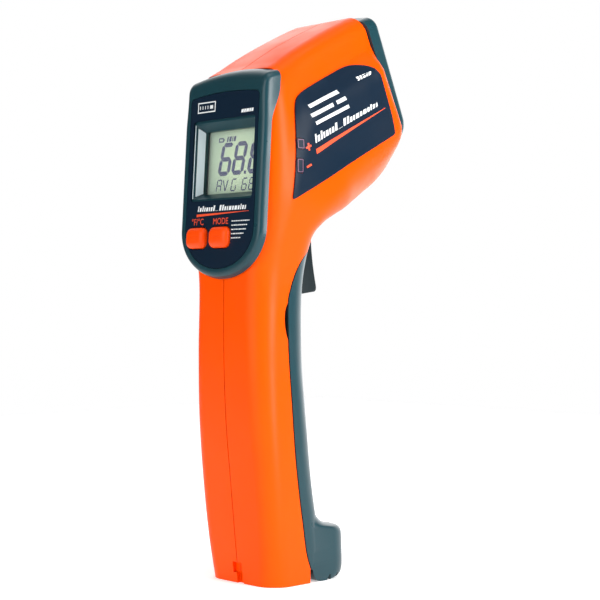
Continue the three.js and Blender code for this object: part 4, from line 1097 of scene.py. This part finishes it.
turn = np.linspace(-0.6, 2.6, 16)
boss = np.stack([TRIGGER["y"] + 2.4 * np.cos(turn), TRIGGER["z"] + 2.4 * np.sin(turn)], -1)
profile = np.concatenate([[(25.6, 90.4)], bow((31.0, 91.1), (32.2, 91.4), (31.8, 93.2)),
                          bow((31.8, 93.2), (29.9, 101), (29.5, 109), 14)[1:], [(30, 117.6)], boss,
                          [(24.6, 115.6), (18.6, 115.2), (18.6, 113.4), (22.9, 112.8)],
                          bow((22.9, 112.8), (24.4, 101), (25, 91), 14)[1:]])
blade = prism("trigger_blade", profile, -TRIGGER["half"], TRIGGER["half"], sideways)
blade = round_edges(blade, 0.7, 4)
blade = combine(blade, ("DIFFERENCE", rod("pin_hole", -9, 9, 1.2, TRIGGER["y"], TRIGGER["z"])),
                ("DIFFERENCE", block("side_cut", 2.2, 9, 24, 34, 115.4, 125)),
                ("DIFFERENCE", block("arm_cut", 2.2, 9, 10, 26, 111.6, 120)),
                ("DIFFERENCE", block("other_cut", -9, -2.2, 10, 26, 111.6, 120)))
finish_piece(blade, "trigger", dark_abs, "dark_trigger", "trigger")

# %% [markdown]
# ## Battery door
# One moulding: the front skin of the handle from seam to seam, and the foot that lets the tool stand.
# The skin is the body surface minus the same surface shrunk by 2 mm. The foot is a stack of rounded
# outlines whose front edge follows the foot's side profile, so it flows out of the skin in one curve. It
# keeps to the door's side of the seam, and behind the hinge it is cut away, so that it clears the battery
# when the door swings.

# %% Battery door
SKIN = 2.0
ROOM_FLOOR = 8.4
FOOT = {"half": 16.2, "corner": 7.6, "back": 12.0, "inner_half": 14.6}
FOOT_FRONT = [(0.0, 33.6), (0.35, 35.1), (1.2, 36.3), (2.6, 37.0), (4.6, 37.3), (9, 37.2), (13.6, 37.0),
              (15.2, 36.6), (16.2, 35.7), (16.75, 34.3), (17.1, 32.4), (17.6, 29.9), (18.5, 27.8),
              (20.0, 26.1), (22.0, 24.6)]
levels = spline(FOOT_FRONT, np.linspace(0, 1, 57))
rings = []
for height, front in levels:
    shrink = 0.5 * (1 - smoothstep(0.0, 2.0, height))
    outline = rounded_box(-FOOT["half"] + shrink, FOOT["half"] - shrink, FOOT["back"], front,
                          FOOT["corner"], 16)
    rings.append(upright(*outline.T, np.full(len(outline), height)))
grooves = [prism("groove", bow((y + 0.9, -0.5), (y, 4.6), (y - 0.9, -0.5), 8), -30, 30, sideways)
           for y in (31.2, 27.6)]
FOOT_BACK = [(5, -2), (25.2, -2), (25.2, 0), (24, 6), (19.8, 10), (19.8, 30), (5, 30)]
foot = combine(ring_solid("foot", rings), ("INTERSECT", door_space(0)),
               ("DIFFERENCE", prism("back", FOOT_BACK, -FOOT["inner_half"], FOOT["inner_half"], sideways)),
               *[("DIFFERENCE", groove) for groove in grooves])

inside = body_solid("inside", -SKIN, count=80, rows=LONG_ROWS, arc=8, side=8)
room = combine(copy_of(inside), ("DIFFERENCE", block("below", -40, 40, -20, 80, -20, ROOM_FLOOR)))
foot = combine(foot, ("DIFFERENCE", room))
skin = combine(copy_of(outer), ("DIFFERENCE", inside))
space = combine(door_space(0), ("DIFFERENCE", block("above", -40, 40, 0, 60, 104.2, 120)))
pivot = (DOOR_PIVOT["y"], DOOR_PIVOT["z"])
floor = combine(copy_of(outer), ("INTERSECT", block("low", -40, 40, 15, 30, -1, DOOR_PIVOT["z"])),
                ("INTERSECT", rod("knuckle", -16, 16, DOOR_PIVOT["r"], *pivot)),
                ("DIFFERENCE", rod("hollow_knuckle", -14.4, 14.4, 2.7, *pivot)))
door = combine(skin, ("INTERSECT", space), ("UNION", floor), ("UNION", foot),
               *[("UNION", rod("barrel", x, x + 3, 3.4, *pivot)) for x in (9.2, -12.2)],
               *[("DIFFERENCE", block("gap", x, x + 4.8, 18, 27.2, -1, 9.4)) for x in (3.6, -8.4)],
               ("DIFFERENCE", rod("pin_bore", -13.5, 13.5, 1.1, *pivot)))
door.name = "battery_door_moulding"
finish_piece(door, "door", slate_abs, "slate_grip", "battery_door")

# %% [markdown]
# ## Screws and battery
# Four pan-head screws sink in counterbores on the left shell. The 9-volt block has a printed sleeve over
# a steel can. Here the whole block has the sleeve's plain blue, studs included.

# %% Screws
for number, (y, z) in enumerate(SCREWS, 1):
    seat, head = SCREW["seat"], SCREW["head"]
    top = seat - SCREW["tall"]
    rows = [(top, head * 0.5), (top + 0.06, head * 0.72), (top + 0.25, head * 0.9), (top + 0.6, head),
            (seat - GAP, head), (seat - GAP, SCREW["shank"]),
            (SCREW["tip"] - 1, SCREW["shank"]), (SCREW["tip"], 0.3)]
    body = turned(f"pan_screw_{number}", rows, y, z, sideways, 36)
    cross = [block("slot", top - 1, top + 0.9, y - a, y + a, z - b, z + b)
             for a, b in ((1.5, 0.28), (0.28, 1.5))]
    finish_piece(combine(body, *[("DIFFERENCE", bar) for bar in cross]), "housing", steel, "bright_steel",
                 f"shell_screw_{number}")

# %% Battery
def in_cell(a, b, depth):
    """The cell's frame: outlines in x, y, depth up its axis, leaning with the handle."""
    lean = CELL["lean"]
    return np.stack([a, CELL["y"] + b * math.cos(lean) - depth * math.sin(lean),
                     CELL["z"] + b * math.sin(lean) + depth * math.cos(lean)], -1)


rings = []
for grow, height in [(-1.1, 0), (-0.6, 0.12), (-0.2, 0.45), (0, 1.0), (0, CELL["tall"] - 1.0),
                     (-0.2, CELL["tall"] - 0.45), (-0.6, CELL["tall"] - 0.12), (-1.1, CELL["tall"])]:
    wide, deep = CELL["wide"] / 2 + grow, CELL["deep"] / 2 + grow
    outline = rounded_box(-wide, wide, -deep, deep, 3 + grow)
    rings.append(in_cell(*outline.T, np.full(len(outline), float(height))))
can = ring_solid("nine_volt_block", rings)
tall = CELL["tall"]
stud = turned("stud", [(tall - 0.1, 3.2), (tall + 1.9, 3.2), (tall + 2.2, 2.9)], -6.4, 0, in_cell)
cup = turned("cup", [(tall - 0.1, 3.6), (tall + 1.0, 3.6), (tall + 2.2, 4.0)], 6.4, 0, in_cell)
can = combine(can, ("UNION", stud), ("UNION", cup))
finish_piece(can, "housing", cell_wrap, "cell_jacket", "battery")
bpy.data.objects.remove(outer)

# %% [markdown]
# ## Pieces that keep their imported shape
# The boards, the switch, the spring and the wires are already right. They only need their finishes.

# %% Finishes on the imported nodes
KEPT = {
    "side_key_board": board_green, "keypad_membrane": rubber, "main_board": board_green,
    "buzzer": black_abs, "lens_tube": black_abs, "ir_sensor": steel, "sensor_board": board_green,
    "laser_module": brass, "trigger_pin": steel, "trigger_spring": steel, "microswitch": black_abs,
    "door_hinge_pin": steel, "battery_snap": black_abs, "battery_lead_red": red_pvc,
    "battery_lead_black": black_pvc,
}
for node, material in KEPT.items():
    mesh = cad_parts[node].data
    mesh.materials.clear()
    mesh.materials.append(material)
print("packed nodes with a new finish:", len(KEPT))

# %% [markdown]
# ## Studio
# A white sweep and four soft boxes: a tall one on the right, a broad weak one high on the left and a
# little forward, one overhead, and a low one behind the tool. The far side of the room is bright: at a
# grazing angle even satin plastic mirrors it, which pales the edges.

# %% Floor and light
def sheet_material():
    material, tree = empty_material("matt_white_sweep")
    place = add_node(tree, "ShaderNodeTexCoord")
    tooth = add_node(tree, "ShaderNodeTexNoise", {"Scale": 1 / (4 * MM)}, {"Vector": place.outputs["Object"]})
    tint = add_node(tree, "ShaderNodeMix", {"data_type": "RGBA", 6: linear("fafafa"), 7: linear("f6f6f6")},
                    {0: tooth.outputs["Fac"]})
    shader = add_node(tree, "ShaderNodeBsdfPrincipled", {"Roughness": 0.9, "Emission Strength": 0.42},
                      {"Base Color": tint.outputs[2], "Emission Color": tint.outputs[2]})
    close_material(tree, shader)
    return material


half_side = 0.62
sweep = bpy.data.meshes.new("sweep")
sweep.from_pydata([(-half_side, -half_side, 0), (half_side, -half_side, 0), (half_side, half_side, 0),
                   (-half_side, half_side, 0)], [], [(0, 1, 2, 3)])
sweep.materials.append(sheet_material())
floor_piece = bpy.data.objects.new("sweep", sweep)
bpy.context.scene.collection.objects.link(floor_piece)
floor_piece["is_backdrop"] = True


def white_room(dim, bright, azimuth, wide):
    """A white room, dim on the near side, that grows bright round one azimuth: strength
    dim + (bright - dim) * smoothstep(1 - wide, 1, cosine of the angle to it). Seen directly it's white."""
    room = bpy.data.worlds.new("white_room")
    room.use_nodes = True
    tree = room.node_tree
    tree.nodes.clear()
    place = add_node(tree, "ShaderNodeTexCoord")
    a = math.radians(azimuth)
    facing = add_node(tree, "ShaderNodeVectorMath",
                      {"operation": "DOT_PRODUCT", 1: (math.sin(a), -math.cos(a), 0.0)},
                      {0: place.outputs["Generated"]})
    glow = add_node(tree, "ShaderNodeMapRange",
                    {"interpolation_type": "SMOOTHSTEP", "From Min": 1 - wide, "From Max": 1.0,
                     "To Min": dim, "To Max": bright}, {"Value": facing.outputs["Value"]})
    lit = add_node(tree, "ShaderNodeBackground", {"Color": (1.0, 1.0, 1.0, 1.0)},
                   {"Strength": glow.outputs[0]})
    seen = add_node(tree, "ShaderNodeBackground", {"Color": (1.0, 1.0, 1.0, 1.0), "Strength": 1.0})
    path = add_node(tree, "ShaderNodeLightPath")
    both = add_node(tree, "ShaderNodeMixShader", links={0: path.outputs["Is Camera Ray"], 1: lit.outputs[0],
                                                        2: seen.outputs[0]})
    add_node(tree, "ShaderNodeOutputWorld", links={"Surface": both.outputs[0]})
    return room


bpy.context.scene.world = white_room(0.08, 2.3, 202, 0.5)

TARGET = Vector((0, 0.002, 0.09))


def soft_box(name, azimuth, elevation, distance, wide, tall, watts):
    """A rectangular light that faces the tool from that direction, in degrees."""
    a, e = math.radians(azimuth), math.radians(elevation)
    way = Vector((math.sin(a) * math.cos(e), -math.cos(a) * math.cos(e), math.sin(e)))
    lamp = bpy.data.lights.new(name, "AREA")
    lamp.shape = "RECTANGLE"
    lamp.size = wide
    lamp.size_y = tall
    lamp.energy = watts
    made = bpy.data.objects.new(name, lamp)
    made.location = TARGET + way * distance
    made.rotation_euler = (-way).to_track_quat("-Z", "Y").to_euler()
    bpy.context.scene.collection.objects.link(made)


soft_box("right_box", 96, 6, 0.9, 0.30, 1.0, 15.5)
soft_box("rim_box", 244, 46, 0.9, 0.9, 0.7, 2.2)
soft_box("top_box", 60, 74, 0.9, 0.6, 0.6, 3.0)
soft_box("rear_box", 2, 16, 1.1, 0.7, 0.9, 6.0)

# %% [markdown]
# ## Camera
# A long lens, level with the middle of the tool, 46 degrees round to its right from straight behind.

# %% Camera
EYE = Vector((0.34816, -0.33404, 0.0884))
LOOK = Vector((0.0, 0.00217, 0.0884))
view = bpy.data.cameras.new("product_view")
view.lens = 89.4
view.sensor_width = 36.0
eye = bpy.data.objects.new("product_view", view)
eye.location = EYE
eye.rotation_euler = (LOOK - EYE).to_track_quat("-Z", "Y").to_euler()
bpy.context.scene.collection.objects.link(eye)
bpy.context.scene.camera = eye
bpy.context.scene.view_settings.view_transform = "Standard"

# %% Sizes and the end
low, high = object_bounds()
print("visual box in mm", [round(v * 1000, 1) for v in (*low, *high)])
